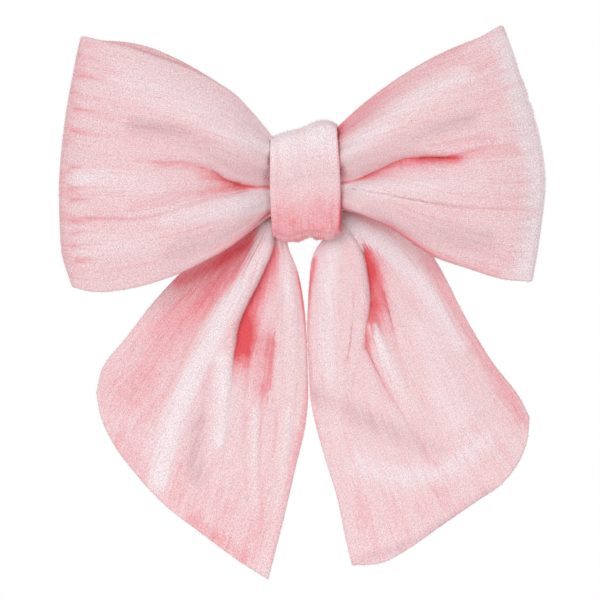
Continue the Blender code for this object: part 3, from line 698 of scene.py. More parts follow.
# %% The tails
def tail(side_name):
    outline = TAIL_OUTLINES[side_name]
    u = np.concatenate([np.linspace(0, 0.985, TAIL_ROWS), [0.9885, 0.992, 0.995, 0.9975, 0.999, 1]])
    v = edge_spaced(TAIL_COLUMNS, TAIL_STRIP_WIDTH)
    start = [outline["outer"][0], outline["inner"][0]]
    plan = coons(start, outline["hem"], outline["outer"], outline["inner"], u, v)
    x, z = plan[..., 0], plan[..., 1]
    depths = np.array(TAIL_DEPTHS)
    y = np.interp(TAIL_TOP - z, depths[:, 0], depths[:, 1])
    # an open tail is arched across, and a gathered one is flat
    opened = smoothstep(u / 0.5)[:, None]
    y = y - 1.5 * opened * (1 - (2 * v - 1) ** 2)[None, :]
    middle = np.stack([x, y, z], -1)
    normal = front_normals(middle)
    depth, tint, bright = draw(TAIL_STROKES[side_name], x, z)
    # under the loops the folds stay shallow, the gathers are close, and painted shade deepens the colour
    near_top = 0.6 + 0.4 * smoothstep((-14 - z) / 12)
    gathers = 0.5 * np.cos(2 * math.pi * 3.5 * v)[None, :] * np.exp(-u / 0.1)[:, None]
    middle -= normal * (depth * near_top + gathers)[..., None]
    tint += 0.35 * smoothstep((z + 15) / 5)
    outside = np.ones(x.shape)
    fields = {"tint": (tint, 0.12 + 0.25 * tint), "bright": (bright, 0.2 * bright), "pile": outside}
    return sewn_tube(side_name + "_tail", middle, TAIL_STRIP_WIDTH, fields), middle


left_tail, left_tail_middle = tail("left")
right_tail, right_tail_middle = tail("right")

# %% [markdown]
# ## The knot
# The short strip wraps the gathered middle and the clip's plate, and its ends are sewn together behind.
# It is a ring: a rounded path in side view, carried from the left edge to the right edge. The strip was
# pulled round a bundle that is taller on the right, so its top edge climbs, with a small bump where the
# gathers push up. The loops puff out most above the middle, so the strip leans forward over them there.

# %% The knot
KNOT_PATH = [  # y in mm, and the share of the height
    (-21.75, 0.05),
    (-21.9, 0.2),
    (-22.3, 0.44),
    (-23.9, 0.62),
    (-24.7, 0.78),
    (-24.1, 0.92),
    (-21.4, 1.0),
    (-12.5, 1.0),
    (-8.2, 0.985),
    (-6.6, 0.9),
    (-6.25, 0.7),
    (-6.2, 0.3),
    (-6.6, 0.1),
    (-8.2, 0.015),
    (-12.5, 0.0),
    (-18.8, 0.0),
    (-21.2, 0.006),
]
KNOT_HALF = 0.55
KNOT_WAIST = 0.35  # the sides bow out a little half way down
DRAWN_FROM = -20.6  # y, where the lower run starts to be drawn in; the upper run starts further back
DRAWN_LATER = 4.2
DRAWN_OVER = 4.6
KNOT_ROWS = 150
KNOT_COLUMNS = 56
KNOT_TOP = [(-9.0, 10.6), (-6, 11.5), (-1, 12.8), (2.5, 14.3), (5, 14.6), (7.4, 13.6)]
KNOT_BOTTOM = [(-8.6, -12.2), (-6.4, -13.6), (-4.5, -14.0), (0, -12.9), (3, -12.9), (5, -13.5), (8.4, -11.6)]


def knot():
    v = edge_spaced(KNOT_COLUMNS, KNOT_STRIP_WIDTH)
    top, bottom = curve_at(KNOT_TOP, v), curve_at(KNOT_BOTTOM, v)
    ring = curve_at(KNOT_PATH + KNOT_PATH[:1], np.linspace(0, 1, KNOT_ROWS + 1)[:-1])
    ring_y, share = ring[:, :1], ring[:, 1:]
    waist = KNOT_WAIST * np.sin(math.pi * share)
    x = bottom[None, :, 0] + share * (top[:, 0] - bottom[:, 0])[None] + waist * (2 * v - 1)[None]
    z = bottom[None, :, 1] + share * (top[:, 1] - bottom[:, 1])[None]
    # behind its front the strip is drawn in, so the tails hang free beside it, and it closes on the clip
    drawn_in = smoothstep((ring_y - DRAWN_FROM - DRAWN_LATER * share) / DRAWN_OVER) * (0.5 - 0.15 * share)
    x = x * (1 - drawn_in)
    z = z * (1 - 0.28 * smoothstep((ring_y + 14.5) / 7))
    crown = 0.5 * (1 - np.abs(2 * v - 1) ** 2.5)[None]
    facing = smoothstep((-14 - ring_y) / 5)
    y = ring_y + facing * (0.5 - crown)
    middle = np.stack([x, y, z], -1)
    normal = front_normals(middle, ring=True)
    # a shallow groove by the left edge, a painted shadow line down the right edge, painted shade over the
    # lower part, a painted highlight across the top, and two soft grooves; behind its front the ring takes a
    # flat deeper tone
    strokes = [
        stroke([(-7.6, 11), (-7.2, 0), (-7.0, -12)], 0.12, (0.8, 0.8), (1, 1), 0.1),
        stroke([(7.5, 13), (8.7, 0), (8.2, -11)], tint=0.9, soft=(0.55, 0.55), fade=(1, 1)),
        stroke([(-8, -11), (0, -11.5), (8, -9.5)], tint=0.6, soft=(7, 6), fade=(1, 1)),
        stroke([(-8.5, 9.5), (0, 12), (7, 12)], tint=-0.1, bright=1.2, soft=(4, 5), fade=(0.8, 1)),
        stroke([(-2, 10), (-1.4, 0), (-1.8, -10)], 0.18, (1.4, 1.4), (0.8, 1)),
        stroke([(3.6, 11), (4.4, 0), (4, -10)], 0.14, (1.2, 1.2), (0.8, 1)),
    ]
    depth, tint, bright = draw(strokes, x, z)
    middle -= normal * (facing * depth)[..., None]
    outside = np.ones(x.shape)
    fields = {"tint": (tint * facing + 0.3 * (1 - facing), outside), "bright": (bright * facing, 0 * outside)}
    fields["pile"] = (outside, 0 * outside)
    return sewn_tube("knot", middle, KNOT_STRIP_WIDTH, fields, KNOT_HALF, ring=True)


knot_piece = knot()

# %% [markdown]
# ## The gathered middle of the tail strip
# Between the two tails the strip is drawn up into tight pleats, and those pleats are what the knot and
# the glue hold. They show only from the side, as a stack of folds inside the knot. The strip goes back
# and forth like ribbon candy, with round turns, so that no fold is sharper than the cloth is thick.

# %% The gathered middle
GATHER_PITCH = 1.75
GATHER_TURNS = 8
GATHER_FRONT, GATHER_BACK = -15.4, -9.8
GATHER_HALF_WIDTH = 6.4
GATHER_FOOT = -6.0
GATHER_CLIMB = 2.2  # the right end stands taller, as the knot does
GATHER_FAN = 0.3  # how much taller the stack is in front than behind
GATHER_HALF = 0.5


def gathered_middle():
    path = []
    for turn in range(GATHER_TURNS):
        z = GATHER_FOOT + turn * GATHER_PITCH
        ends = (GATHER_FRONT + 0.8, GATHER_BACK - 0.8)
        first, last = ends if turn % 2 else ends[::-1]
        outward = GATHER_BACK if turn % 2 else GATHER_FRONT
        path += [(first, z), (last, z)]
        if turn < GATHER_TURNS - 1:
            path.append((outward, z + GATHER_PITCH / 2))
    end_steps = np.array([0, 0.0006, 0.002, 0.0045, 0.008])  # close together, for a rounded end
    steps = np.linspace(0, 1, 420)[5:-5]
    fold = curve_at(path, np.concatenate([end_steps, steps, 1 - end_steps[::-1]]))
    v = edge_spaced(10, 2 * GATHER_HALF_WIDTH)
    x = np.broadcast_to(((2 * v - 1) * GATHER_HALF_WIDTH)[None], (len(fold), len(v)))
    height = (fold[:, 1:] - GATHER_FOOT) / (GATHER_PITCH * (GATHER_TURNS - 1))
    z = fold[:, 1:] + GATHER_CLIMB * height * (x / GATHER_HALF_WIDTH + 1) / 2
    y = np.broadcast_to(fold[:, :1], x.shape)
    z = z * (1 + GATHER_FAN * (GATHER_BACK - y) / (GATHER_BACK - GATHER_FRONT))
    middle = np.stack([x, y, z], -1)
    # the stack inside the knot is painted one deeper tone, as painted shade
    deep = np.full(x.shape, 0.45)
    fields = {"tint": deep, "bright": 0 * deep, "pile": 0 * deep}
    return sewn_tube("tail_gather", middle, 2 * GATHER_HALF_WIDTH, fields, GATHER_HALF)


tail_gather = gathered_middle()

# %% [markdown]
# ## Colours
# Screen colours are stored with a curve, and a shader works in linear light, so each colour is
# converted once here.


# %% Colours
def colour(red, green, blue):
    def linear(c):
        c /= 255
        return c / 12.92 if c <= 0.04045 else ((c + 0.055) / 1.055) ** 2.4

    return (linear(red), linear(green), linear(blue), 1.0)


PALE = colour(251, 226, 229)
# painted shade: salmon for shaded velvet, coral for the deepest creases
PAINTED_SHADE_SALMON = colour(248, 172, 179)
PAINTED_SHADE_CORAL = colour(238, 98, 105)
# painted sheen: the whitish pink of a painted highlight
PAINTED_SHEEN = colour(254, 247, 250)
CREAM = colour(253, 238, 226)
LILAC = colour(238, 214, 232)
# painted shade: the mauve-grey of a shaded hollow
PAINTED_SHADE_MAUVE = colour(219, 183, 191)
print("pale velvet in linear light:", [round(c, 3) for c in PALE[:3]])

# %% [markdown]
# ## Shader tools
# A finish is a tree of nodes, and placing each node by hand takes several lines. These helpers add a
# node, set or link its inputs, and give back the socket that the next node needs, so that a finish below
# reads like a recipe.


# %% Shader tools
def shader_group(name, inputs, outputs):
    """A new node group with float inputs at their default values, a vector first, and named outputs."""
    group = bpy.data.node_groups.new(name, "ShaderNodeTree")
    for label, kind, value in inputs:
        socket = group.interface.new_socket(label, in_out="INPUT", socket_type=kind)
        if value is not None:
            socket.default_value = value
    for label, kind in outputs:
        group.interface.new_socket(label, in_out="OUTPUT", socket_type=kind)
    return group, group.nodes.new("NodeGroupInput"), group.nodes.new("NodeGroupOutput")


def add(tree, kind, settings=None, **inputs):
    """Adds a node, sets its properties, and links or sets its inputs. in0 is the first socket."""
    node = tree.nodes.new(kind)
    for key, value in (settings or {}).items():
        setattr(node, key, value)
    for key, value in inputs.items():
        numbered = key.startswith("in") and key[2:].isdigit()
        socket = node.inputs[int(key[2:]) if numbered else key.replace("_", " ")]
        if isinstance(value, bpy.types.NodeSocket):
            tree.links.new(value, socket)
        else:
            socket.default_value = value
    return node


def maths(tree, operation, a, b=0.0, clamp=False):
    return add(tree, "ShaderNodeMath", {"operation": operation, "use_clamp": clamp}, in0=a, in1=b).outputs[0]


def mixed(tree, factor, a, b, blend="MIX"):
    node = add(tree, "ShaderNodeMix", {"data_type": "RGBA", "blend_type": blend}, in0=factor)
    for socket, value in ((node.inputs[6], a), (node.inputs[7], b)):
        if isinstance(value, bpy.types.NodeSocket):
            tree.links.new(value, socket)
        else:
            socket.default_value = value
    return node.outputs[2]


def ranged(tree, value, low, high, to_low=0.0, to_high=1.0):
    node = add(tree, "ShaderNodeMapRange", None, in0=value, in1=low, in2=high, in3=to_low, in4=to_high)
    return node.outputs[0]


def noise(tree, vector, scale, detail=2.0, roughness=0.5):
    settings = {"Vector": vector, "Scale": scale, "Detail": detail, "Roughness": roughness}
    return add(tree, "ShaderNodeTexNoise", None, **settings).outputs["Fac"]


def grey(tree, value):
    return add(tree, "ShaderNodeCombineColor", None, Red=value, Green=value, Blue=value).outputs[0]


def attribute(tree, name):
    return add(tree, "ShaderNodeAttribute", {"attribute_name": name}).outputs["Fac"]


def object_place(tree):
    return add(tree, "ShaderNodeTexCoord").outputs["Object"]


def bumped(tree, shader, height, strength, distance):
    bump = add(tree, "ShaderNodeBump", None, Strength=strength, Distance=distance, Height=height)
    tree.links.new(bump.outputs[0], shader.inputs["Normal"])


def around_zero(tree, value, amount):
    """A noise that runs from 0 to 1, centred and scaled."""
    return maths(tree, "MULTIPLY", maths(tree, "SUBTRACT", value, 0.5), amount)


# %% [markdown]
# ## Velvet
# Velvet is a knitted back with a dense short pile. Looked at along the pile it is pale and silvery, and
# looked at into it, it is deep and saturated. Here that is painted into the colour: a painted silvery
# highlight and painted salmon, coral and mauve shade, wherever the strokes drew them. Three things make
# it read as velvet: the sheen at glancing angles, streaks where the pile was brushed along the strip, and
# a fine grain. The streaks, the grain and the painted light and shade are one shader group, used by all
# the cloth. The group reads the cloth map of each strip, so the streaks follow the strip into its gathers.


# %% The pile and painted light group
def pile_and_painted_light_group():
    group, given, made = shader_group(
        "brushed pile",
        [
            ("Cloth", "NodeSocketVector", None),
            # Tint is the drawn painted shade, with a rosier tone in places; the next value is the drawn
            # painted light
            ("Tint", "NodeSocketFloat", 0.0),
            ("Bright", "NodeSocketFloat", 0.0),
            ("Streaks", "NodeSocketFloat", 1.0),
            ("Grain", "NodeSocketFloat", 1.0),
        ],
        [("Colour", "NodeSocketColor"), ("Height", "NodeSocketFloat"), ("Roughness", "NodeSocketFloat")],
    )
    cloth = given.outputs["Cloth"]

    def stretched(along, across):
        return add(group, "ShaderNodeMapping", None, Vector=cloth, Scale=(along, across, 1)).outputs[0]

    streak = noise(group, stretched(90, 1700), 1.0, 3, 0.6)
    broad = noise(group, stretched(45, 260), 1.0, 2, 0.5)
    mottle = noise(group, stretched(520, 620), 1.0, 3, 0.6)
    grain = noise(group, stretched(2600, 3400), 1.0, 2, 0.7)
    speck = noise(group, stretched(1900, 2100), 1.7, 1, 0.5)
    bands = {"wave_type": "BANDS", "bands_direction": "X"}
    wave = {"Vector": stretched(330, 330), "Scale": 1.0, "Distortion": 2.5, "Detail": 2.0}
    ribs = add(group, "ShaderNodeTexWave", bands, **wave).outputs["Fac"]

    # painted shade from the strokes, with the brushed streaks and the mottling, turns the colour to salmon
    # and coral
    swing = around_zero(group, streak, given.outputs["Streaks"])
    deep = maths(group, "ADD", given.outputs["Tint"], maths(group, "MULTIPLY", swing, 0.75))
    deep = maths(group, "ADD", deep, around_zero(group, broad, 0.7))
    deep = maths(group, "ADD", deep, around_zero(group, mottle, 0.45))
    base = mixed(group, ranged(group, deep, 0.02, 0.7), PALE, PAINTED_SHADE_SALMON)
    base = mixed(group, ranged(group, deep, 0.55, 1.3), base, PAINTED_SHADE_CORAL)
    # a painted silvery highlight where the strokes ask for light, broken up by the brushed streaks; painted
    # mauve shade where they ask for shade; and specks that lean to cream or lilac
    brushed = ranged(group, noise(group, stretched(60, 900), 1.0, 3, 0.6), 0.35, 0.65, 0.45, 1.45)
    bright = maths(group, "MULTIPLY", given.outputs["Bright"], brushed)
    flat = maths(group, "ADD", bright, maths(group, "MULTIPLY", swing, -0.8))
    flat = maths(group, "SUBTRACT", flat, maths(group, "MULTIPLY", given.outputs["Tint"], 0.7))
    base = mixed(group, ranged(group, flat, 0.0, 1.1, 0.0, 0.95), base, PAINTED_SHEEN)
    base = mixed(group, ranged(group, bright, -0.1, -1.4, 0.0, 0.75), base, PAINTED_SHADE_MAUVE)
    specks = mixed(group, ranged(group, speck, 0.35, 0.65), CREAM, LILAC)
    away = ranged(group, maths(group, "ABSOLUTE", maths(group, "SUBTRACT", speck, 0.5)), 0.02, 0.12, 0.0, 0.8)
    specked = mixed(group, 1.0, base, specks, "MULTIPLY")
    base = mixed(group, maths(group, "MULTIPLY", away, given.outputs["Grain"]), base, specked)
    base = mixed(group, 1.0, base, grey(group, ranged(group, grain, 0.3, 0.7, 0.72, 1.16)), "MULTIPLY")
    group.links.new(base, made.inputs["Colour"])

    height = maths(group, "ADD", maths(group, "MULTIPLY", grain, 0.55), maths(group, "MULTIPLY", streak, 0.9))
    height = maths(group, "ADD", height, maths(group, "MULTIPLY", mottle, 0.8))
    height = maths(group, "ADD", height, maths(group, "MULTIPLY", ribs, 0.22))
    group.links.new(height, made.inputs["Height"])
    group.links.new(ranged(group, flat, -0.2, 1.0, 0.85, 0.5), made.inputs["Roughness"])
    return group


PILE_AND_PAINTED_LIGHT = pile_and_painted_light_group()
print("brushed pile has", len(PILE_AND_PAINTED_LIGHT.nodes), "nodes")


def new_material(name):
    material = bpy.data.materials.new(name)
    material.use_nodes = True
    tree = material.node_tree
    tree.nodes.clear()
    shader = tree.nodes.new("ShaderNodeBsdfPrincipled")
    output = tree.nodes.new("ShaderNodeOutputMaterial")
    tree.links.new(shader.outputs[0], output.inputs[0])
    return material, tree, shader


def velvet(name, streaks=1.0, grain=1.0):
    material, tree, shader = new_material(name)
    cloth = add(tree, "ShaderNodeUVMap", {"uv_map": "cloth"}).outputs[0]
    # the drawn values carry painted shade, with a rosier tone in places, and painted light
    values = {"Cloth": cloth, "Tint": attribute(tree, "tint"), "Bright": attribute(tree, "bright")}
    values.update(Streaks=streaks, Grain=grain)
    pile = add(tree, "ShaderNodeGroup", {"node_tree": PILE_AND_PAINTED_LIGHT}, **values)
    tree.links.new(pile.outputs["Colour"], shader.inputs["Base Color"])
    tree.links.new(pile.outputs["Roughness"], shader.inputs["Roughness"])
    bumped(tree, shader, pile.outputs["Height"], 0.55, 0.22 * MM)
    shader.inputs["Specular IOR Level"].default_value = 0.25
    shader.inputs["Sheen Weight"].default_value = 0.3
    shader.inputs["Sheen Roughness"].default_value = 0.4
    shader.inputs["Sheen Tint"].default_value = colour(255, 236, 240)
    return material


BOW_VELVET = velvet("bow_velvet", 1.2, 1.6)
TAIL_VELVET = velvet("tail_velvet", 1.0, 1.0)
KNOT_VELVET = velvet("knot_velvet", 0.8, 0.9)
CLOTH_FINISHES = {
    BOW_VELVET: (left_loop, right_loop),
    TAIL_VELVET: (left_tail, right_tail, tail_gather),
    KNOT_VELVET: (knot_piece,),
}
for finish, pieces in CLOTH_FINISHES.items():
    for piece in pieces:
        piece.data.materials.append(finish)
print("velvet finishes:", [finish.name for finish in CLOTH_FINISHES])

# %% [markdown]
# ## Thread, stitches and pile
# Three things repeat on this bow: the turns of thread that gather each strip, the small stitches that
# close each tube behind, and the pile itself. Each is a Geometry Nodes tree with named sizes, so a
# change of pitch or count is one number. The result is turned into a plain mesh at the end, because a
# finished piece must stand without its modifier.


# %% Geometry node tools
def geometry_tree(name, inputs):
    """A tree that takes a shape and named values, and gives a shape."""
    tree = bpy.data.node_groups.new(name, "GeometryNodeTree")
    tree.interface.new_socket("Geometry", in_out="INPUT", socket_type="NodeSocketGeometry")
    for label, kind in inputs:
        tree.interface.new_socket(label, in_out="INPUT", socket_type=kind)
    tree.interface.new_socket("Geometry", in_out="OUTPUT", socket_type="NodeSocketGeometry")
    return tree, tree.nodes.new("NodeGroupInput").outputs, tree.nodes.new("NodeGroupOutput").inputs[0]


def vector(tree, x=0.0, y=0.0, z=0.0):
    return add(tree, "ShaderNodeCombineXYZ", None, X=x, Y=y, Z=z).outputs[0]


def negative(tree, value):
    return maths(tree, "MULTIPLY", value, -1.0)


def random_value(tree, seed, low, high):
    kind = {"data_type": "FLOAT"}
    return add(tree, "FunctionNodeRandomValue", kind, in2=low, in3=high, Seed=seed).outputs[1]


def random_vector(tree, seed, low, high):
    kind = {"data_type": "FLOAT_VECTOR"}
    return add(tree, "FunctionNodeRandomValue", kind, in0=low, in1=high, Seed=seed).outputs[0]


def rope(tree, path, sides, radius, caps=False):
    """A round section carried along a path."""
    section = add(tree, "GeometryNodeCurvePrimitiveCircle", None, Resolution=sides, Radius=radius).outputs[0]
    swept = add(tree, "GeometryNodeCurveToMesh", None, in0=path, in1=section)
    (swept.inputs.get("Fill Caps") or swept.inputs[3]).default_value = caps
    return swept.outputs[0]


def turned_locally(tree, rotation, by):
    local = {"rotation_space": "LOCAL"}
    return add(tree, "FunctionNodeRotateRotation", local, in0=rotation, in1=by).outputs[0]


def close_tree(tree, points, given, out, **copied):
    """Every tree ends alike: a copy on each point, made real geometry, with its material set."""
    copies = add(tree, "GeometryNodeInstanceOnPoints", None, Points=points, **copied).outputs[0]
    real = add(tree, "GeometryNodeRealizeInstances", None, in0=copies).outputs[0]
    dressed = add(tree, "GeometryNodeSetMaterial", None, Geometry=real, Material=given["Material"]).outputs[0]
    tree.links.new(dressed, out)


def grown(name, base, tree, values):
    """Runs a tree on a mesh, and keeps the result as a plain mesh in a new object."""
    holder = bpy.data.objects.new(name, base)
    bpy.context.scene.collection.objects.link(holder)
    modifier = holder.modifiers.new("Grow", "NODES")
    modifier.node_group = tree
    for item in tree.interface.items_tree:
        if item.in_out == "INPUT" and item.name in values:
            modifier[item.identifier] = values[item.name]
    bpy.context.view_layer.update()
    mesh = bpy.data.meshes.new_from_object(holder.evaluated_get(bpy.context.evaluated_depsgraph_get()))
    holder.modifiers.clear()
    holder.data = mesh
    mesh.name = name
    mesh.shade_smooth()
    print(name, "has", len(mesh.polygons), "faces")
    return holder


# %% [markdown]
# ### The thread
# Sewing thread is two or three plies twisted together, dyed a little deeper than the cloth. A wave of
# diagonal bands gives the plies, and a fine noise gives the fluff that stands off them.


# %% The thread finish
def thread_finish():
    material, tree, shader = new_material("gather_thread")
    place = object_place(tree)
    plies = {"bands_direction": "DIAGONAL"}
    wave = add(tree, "ShaderNodeTexWave", plies, Vector=place, Scale=900.0, Distortion=1.5, Detail=1.0)
    twist = wave.outputs["Fac"]
    fluff = noise(tree, place, 6000.0, 2, 0.6)
    tone = mixed(tree, ranged(tree, twist, 0.2, 0.8), colour(226, 150, 160), colour(246, 190, 198))
    tree.links.new(tone, shader.inputs["Base Color"])
    tree.links.new(ranged(tree, fluff, 0.3, 0.7, 0.55, 0.8), shader.inputs["Roughness"])
    bumped(tree, shader, maths(tree, "ADD", twist, maths(tree, "MULTIPLY", fluff, 0.4)), 0.6, 0.08 * MM)
    return material


THREAD = thread_finish()
print("thread finish:", THREAD.name)

# %% [markdown]
# ### The gathering threads
# Each strip is pinched by a few tight turns of thread, which the knot then hides. The turns are one oval
# of thread, copied along a short line at the thread's pitch, each tipped a little differently, because
# no hand winds them quite parallel.


# %% The gathering threads
def winding_tree():
    tree, given, out = geometry_tree(
        "winding",
        [
            ("Turns", "NodeSocketInt"),
            ("Pitch", "NodeSocketVector"),
            ("Oval", "NodeSocketVector"),
            ("Turn", "NodeSocketVector"),
            ("Thread Radius", "NodeSocketFloat"),
            ("Lean", "NodeSocketFloat"),
            ("Seed", "NodeSocketInt"),
            ("Material", "NodeSocketMaterial"),
        ],
    )
    stepped = {"mode": "OFFSET"}
    line = add(tree, "GeometryNodeMeshLine", stepped, Count=given["Turns"], Offset=given["Pitch"]).outputs[0]
    oval = add(tree, "GeometryNodeCurvePrimitiveCircle", None, Resolution=40, Radius=1.0).outputs[0]
    oval = add(tree, "GeometryNodeTransform", None, Geometry=oval, Scale=given["Oval"]).outputs[0]
    oval = add(tree, "GeometryNodeTransform", None, Geometry=oval, Rotation=given["Turn"]).outputs[0]
    thread = rope(tree, oval, 6, given["Thread Radius"])
    back = negative(tree, given["Lean"])
    low, high = vector(tree, back, 0.0, back), vector(tree, given["Lean"], 0.0, given["Lean"])
    tip = random_vector(tree, given["Seed"], low, high)
    close_tree(tree, line, given, out, Instance=thread, Rotation=tip)
    return tree


WINDING = winding_tree()


def winding(name, turns, pitch, oval, turn, centre):
    start = [c - p * (turns - 1) / 2 for c, p in zip(centre, pitch)]
    values = {
        "Turns": turns,
        "Pitch": [p * MM for p in pitch],
        "Oval": [o * MM for o in oval],
        "Turn": [math.radians(t) for t in turn],
        "Thread Radius": 0.22 * MM,
        "Lean": 0.03,
        "Seed": 4,
        "Material": THREAD,
    }
    piece = grown(name, bpy.data.meshes.new(name), WINDING, values)
    piece.data.transform(Matrix.Translation([c * MM for c in start]))
    return piece


bow_winding = winding("bow_winding", 5, (0.62, 0, 0), (9.1, 1.95, 1), (90, 90, 0), (0, -17.95, 0.8))
tail_winding = winding("tail_winding", 4, (0.62, 0, 0), (8.6, 3.9, 1), (90, 90, 0), (0, -12.7, 1.2))

# %% [markdown]
# ### The seams
# A tube that was turned right side out keeps its closing seam on the side nobody looks at. Each seam
# here is a row of small slanted stitches that sits in the groove down the back of a strip. The row's
# line carries the cloth's normal at every point, so each stitch lies flat on the cloth wherever the
# strip turns.


# %% The seams
def stitch_tree():
    tree, given, out = geometry_tree(
        "stitch row",
        [
            ("Count", "NodeSocketInt"),
            ("Stitch Length", "NodeSocketFloat"),
            ("Thread Radius", "NodeSocketFloat"),
            ("Slant", "NodeSocketFloat"),
            ("Seed", "NodeSocketInt"),
            ("Material", "NodeSocketMaterial"),
        ],
    )
    path = add(tree, "GeometryNodeMeshToCurve", None, Mesh=given["Geometry"]).outputs[0]
    points = add(tree, "GeometryNodeResampleCurve", None, Curve=path, Count=given["Count"]).outputs[0]
    # one stitch: an arch of thread whose two ends dip into the cloth
    half = maths(tree, "MULTIPLY", given["Stitch Length"], 0.5)
    rise = maths(tree, "MULTIPLY", given["Stitch Length"], 0.22)
    dip = maths(tree, "MULTIPLY", rise, -0.5)
    ends = {"Start": vector(tree, negative(tree, half), 0.0, dip), "End": vector(tree, half, 0.0, dip)}
    top = vector(tree, z=rise)
    arch = add(tree, "GeometryNodeCurveQuadraticBezier", None, Resolution=5, Middle=top, **ends).outputs[0]
    stitch = rope(tree, arch, 5, given["Thread Radius"], caps=True)
    # each copy stands on the cloth, points down the row, and is slanted as given
    tangent = add(tree, "GeometryNodeInputTangent").outputs[0]
    vectors = {"data_type": "FLOAT_VECTOR"}
    stand = add(tree, "GeometryNodeInputNamedAttribute", vectors, Name="stand").outputs[0]
    up = add(tree, "FunctionNodeAlignRotationToVector", {"axis": "Z"}, Vector=stand).outputs[0]
    about = {"axis": "X", "pivot_axis": "Z"}
    flat = add(tree, "FunctionNodeAlignRotationToVector", about, Rotation=up, Vector=tangent).outputs[0]
    wobble = random_value(tree, given["Seed"], -0.12, 0.12)
    slanted = turned_locally(tree, flat, vector(tree, z=maths(tree, "ADD", given["Slant"], wobble)))
    close_tree(tree, points, given, out, Instance=stitch, Rotation=slanted)
    return tree


STITCH_ROW = stitch_tree()


def seam(name, line, normals, spacing=1.5, length=1.1, slant=0.35, lift=0.08):
    """Stitches along a line of points in mm, standing off along its normals."""
    points = (line + normals * lift) * MM
    path = bpy.data.meshes.new(name)
    path.from_pydata(points.tolist(), [(i, i + 1) for i in range(len(points) - 1)], [])
    stand = path.attributes.new("stand", "FLOAT_VECTOR", "POINT")
    stand.data.foreach_set("vector", normals.astype(np.float32).ravel())
    run = np.linalg.norm(np.diff(line, axis=0), axis=1).sum()
    values = {
        "Count": int(run / spacing),
        "Stitch Length": length * MM,
        "Thread Radius": 0.13 * MM,
        "Slant": slant,
        "Seed": 11,
        "Material": THREAD,
    }
    return grown(name, path, STITCH_ROW, values)


def back_seam(name, middle, rows, outward):
    """The seam half way across a strip. outward is 1 on a loop's back layer and -1 on a tail's back skin."""
    column = middle.shape[1] // 2
    normals = outward * front_normals(middle)[rows, column]
    return seam(name, middle[rows, column] + normals * TUBE_HALF, normals)


LOOP_BACK = slice(int(0.62 * LOOP_ROWS), int(0.93 * LOOP_ROWS))
TAIL_BACK = slice(int(0.14 * TAIL_ROWS), int(0.97 * TAIL_ROWS))
left_loop_seam = back_seam("left_loop_seam", left_middle, LOOP_BACK, 1)
right_loop_seam = back_seam("right_loop_seam", right_middle, LOOP_BACK, 1)
left_tail_seam = back_seam("left_tail_seam", left_tail_middle, TAIL_BACK, -1)
right_tail_seam = back_seam("right_tail_seam", right_tail_middle, TAIL_BACK, -1)

KNOT_SEAM_REACH, KNOT_SEAM_HEIGHT = 4.3, 4.9
KNOT_BACK = -6.2
across_knot = np.linspace(-KNOT_SEAM_REACH, KNOT_SEAM_REACH, 30)
knot_line = np.array([(x, KNOT_BACK + KNOT_HALF, KNOT_SEAM_HEIGHT) for x in across_knot])
knot_outward = np.tile([0.0, 1.0, 0.0], (len(knot_line), 1))
knot_seam = seam("knot_seam", knot_line, knot_outward, spacing=1.3, length=1.9, slant=1.25)

# %% [markdown]
# ### The pile
# From close by, the edge of velvet isn't a line: hairs of pile stand out along it. Short thin cones are
# scattered over the outer skins, standing on the cloth's normal and tipped at random. They take the
# cloth's colour with its painted shade and painted highlights, because the scattered points carry the
# cloth's values with them.


# %% The pile
def pile_tree():
    tree, given, out = geometry_tree(
        "pile",
        [
            ("Density", "NodeSocketFloat"),
            ("Hair Length", "NodeSocketFloat"),
            ("Hair Radius", "NodeSocketFloat"),
            ("Tip", "NodeSocketFloat"),
            ("Seed", "NodeSocketInt"),
            ("Material", "NodeSocketMaterial"),
        ],
    )
    outer = add(tree, "GeometryNodeInputNamedAttribute", {"data_type": "FLOAT"}, Name="pile").outputs[0]
    density = maths(tree, "MULTIPLY", outer, given["Density"])
    over = {"Mesh": given["Geometry"], "Density": density, "Seed": given["Seed"]}
    scatter = add(tree, "GeometryNodeDistributePointsOnFaces", None, **over)
    cone = {"Radius_Top": 0.0, "Radius_Bottom": given["Hair Radius"], "Depth": given["Hair Length"]}
    hair = add(tree, "GeometryNodeMeshCone", {"fill_type": "NGON"}, Vertices=3, **cone).outputs["Mesh"]
    back = negative(tree, given["Tip"])
    low, high = vector(tree, back, back), vector(tree, given["Tip"], given["Tip"], 6.28)
    tip = random_vector(tree, given["Seed"], low, high)
    stand = turned_locally(tree, scatter.outputs["Rotation"], tip)
    size = random_value(tree, given["Seed"], 0.55, 1.25)
    close_tree(tree, scatter.outputs["Points"], given, out, Instance=hair, Rotation=stand, Scale=size)
    return tree


def pile_finish():
    material, tree, shader = new_material("velvet_pile")
    tint, bright = attribute(tree, "tint"), attribute(tree, "bright")
    speck = noise(tree, object_place(tree), 1500.0, 2, 0.6)
    # the hairs take the cloth's painted shade and painted highlight, with random specks of painted sheen
    tone = mixed(tree, ranged(tree, speck, 0.4, 0.6), PALE, PAINTED_SHEEN)
    tone = mixed(tree, ranged(tree, tint, 0.1, 0.7), tone, PAINTED_SHADE_SALMON)
    tone = mixed(tree, ranged(tree, tint, 0.6, 1.3), tone, PAINTED_SHADE_CORAL)
    tone = mixed(tree, ranged(tree, bright, 0.2, 1.0, 0.0, 0.7), tone, PAINTED_SHEEN)
    tree.links.new(tone, shader.inputs["Base Color"])
    tree.links.new(ranged(tree, speck, 0.35, 0.65, 0.45, 0.7), shader.inputs["Roughness"])
    shader.inputs["Sheen Weight"].default_value = 0.3
    return material


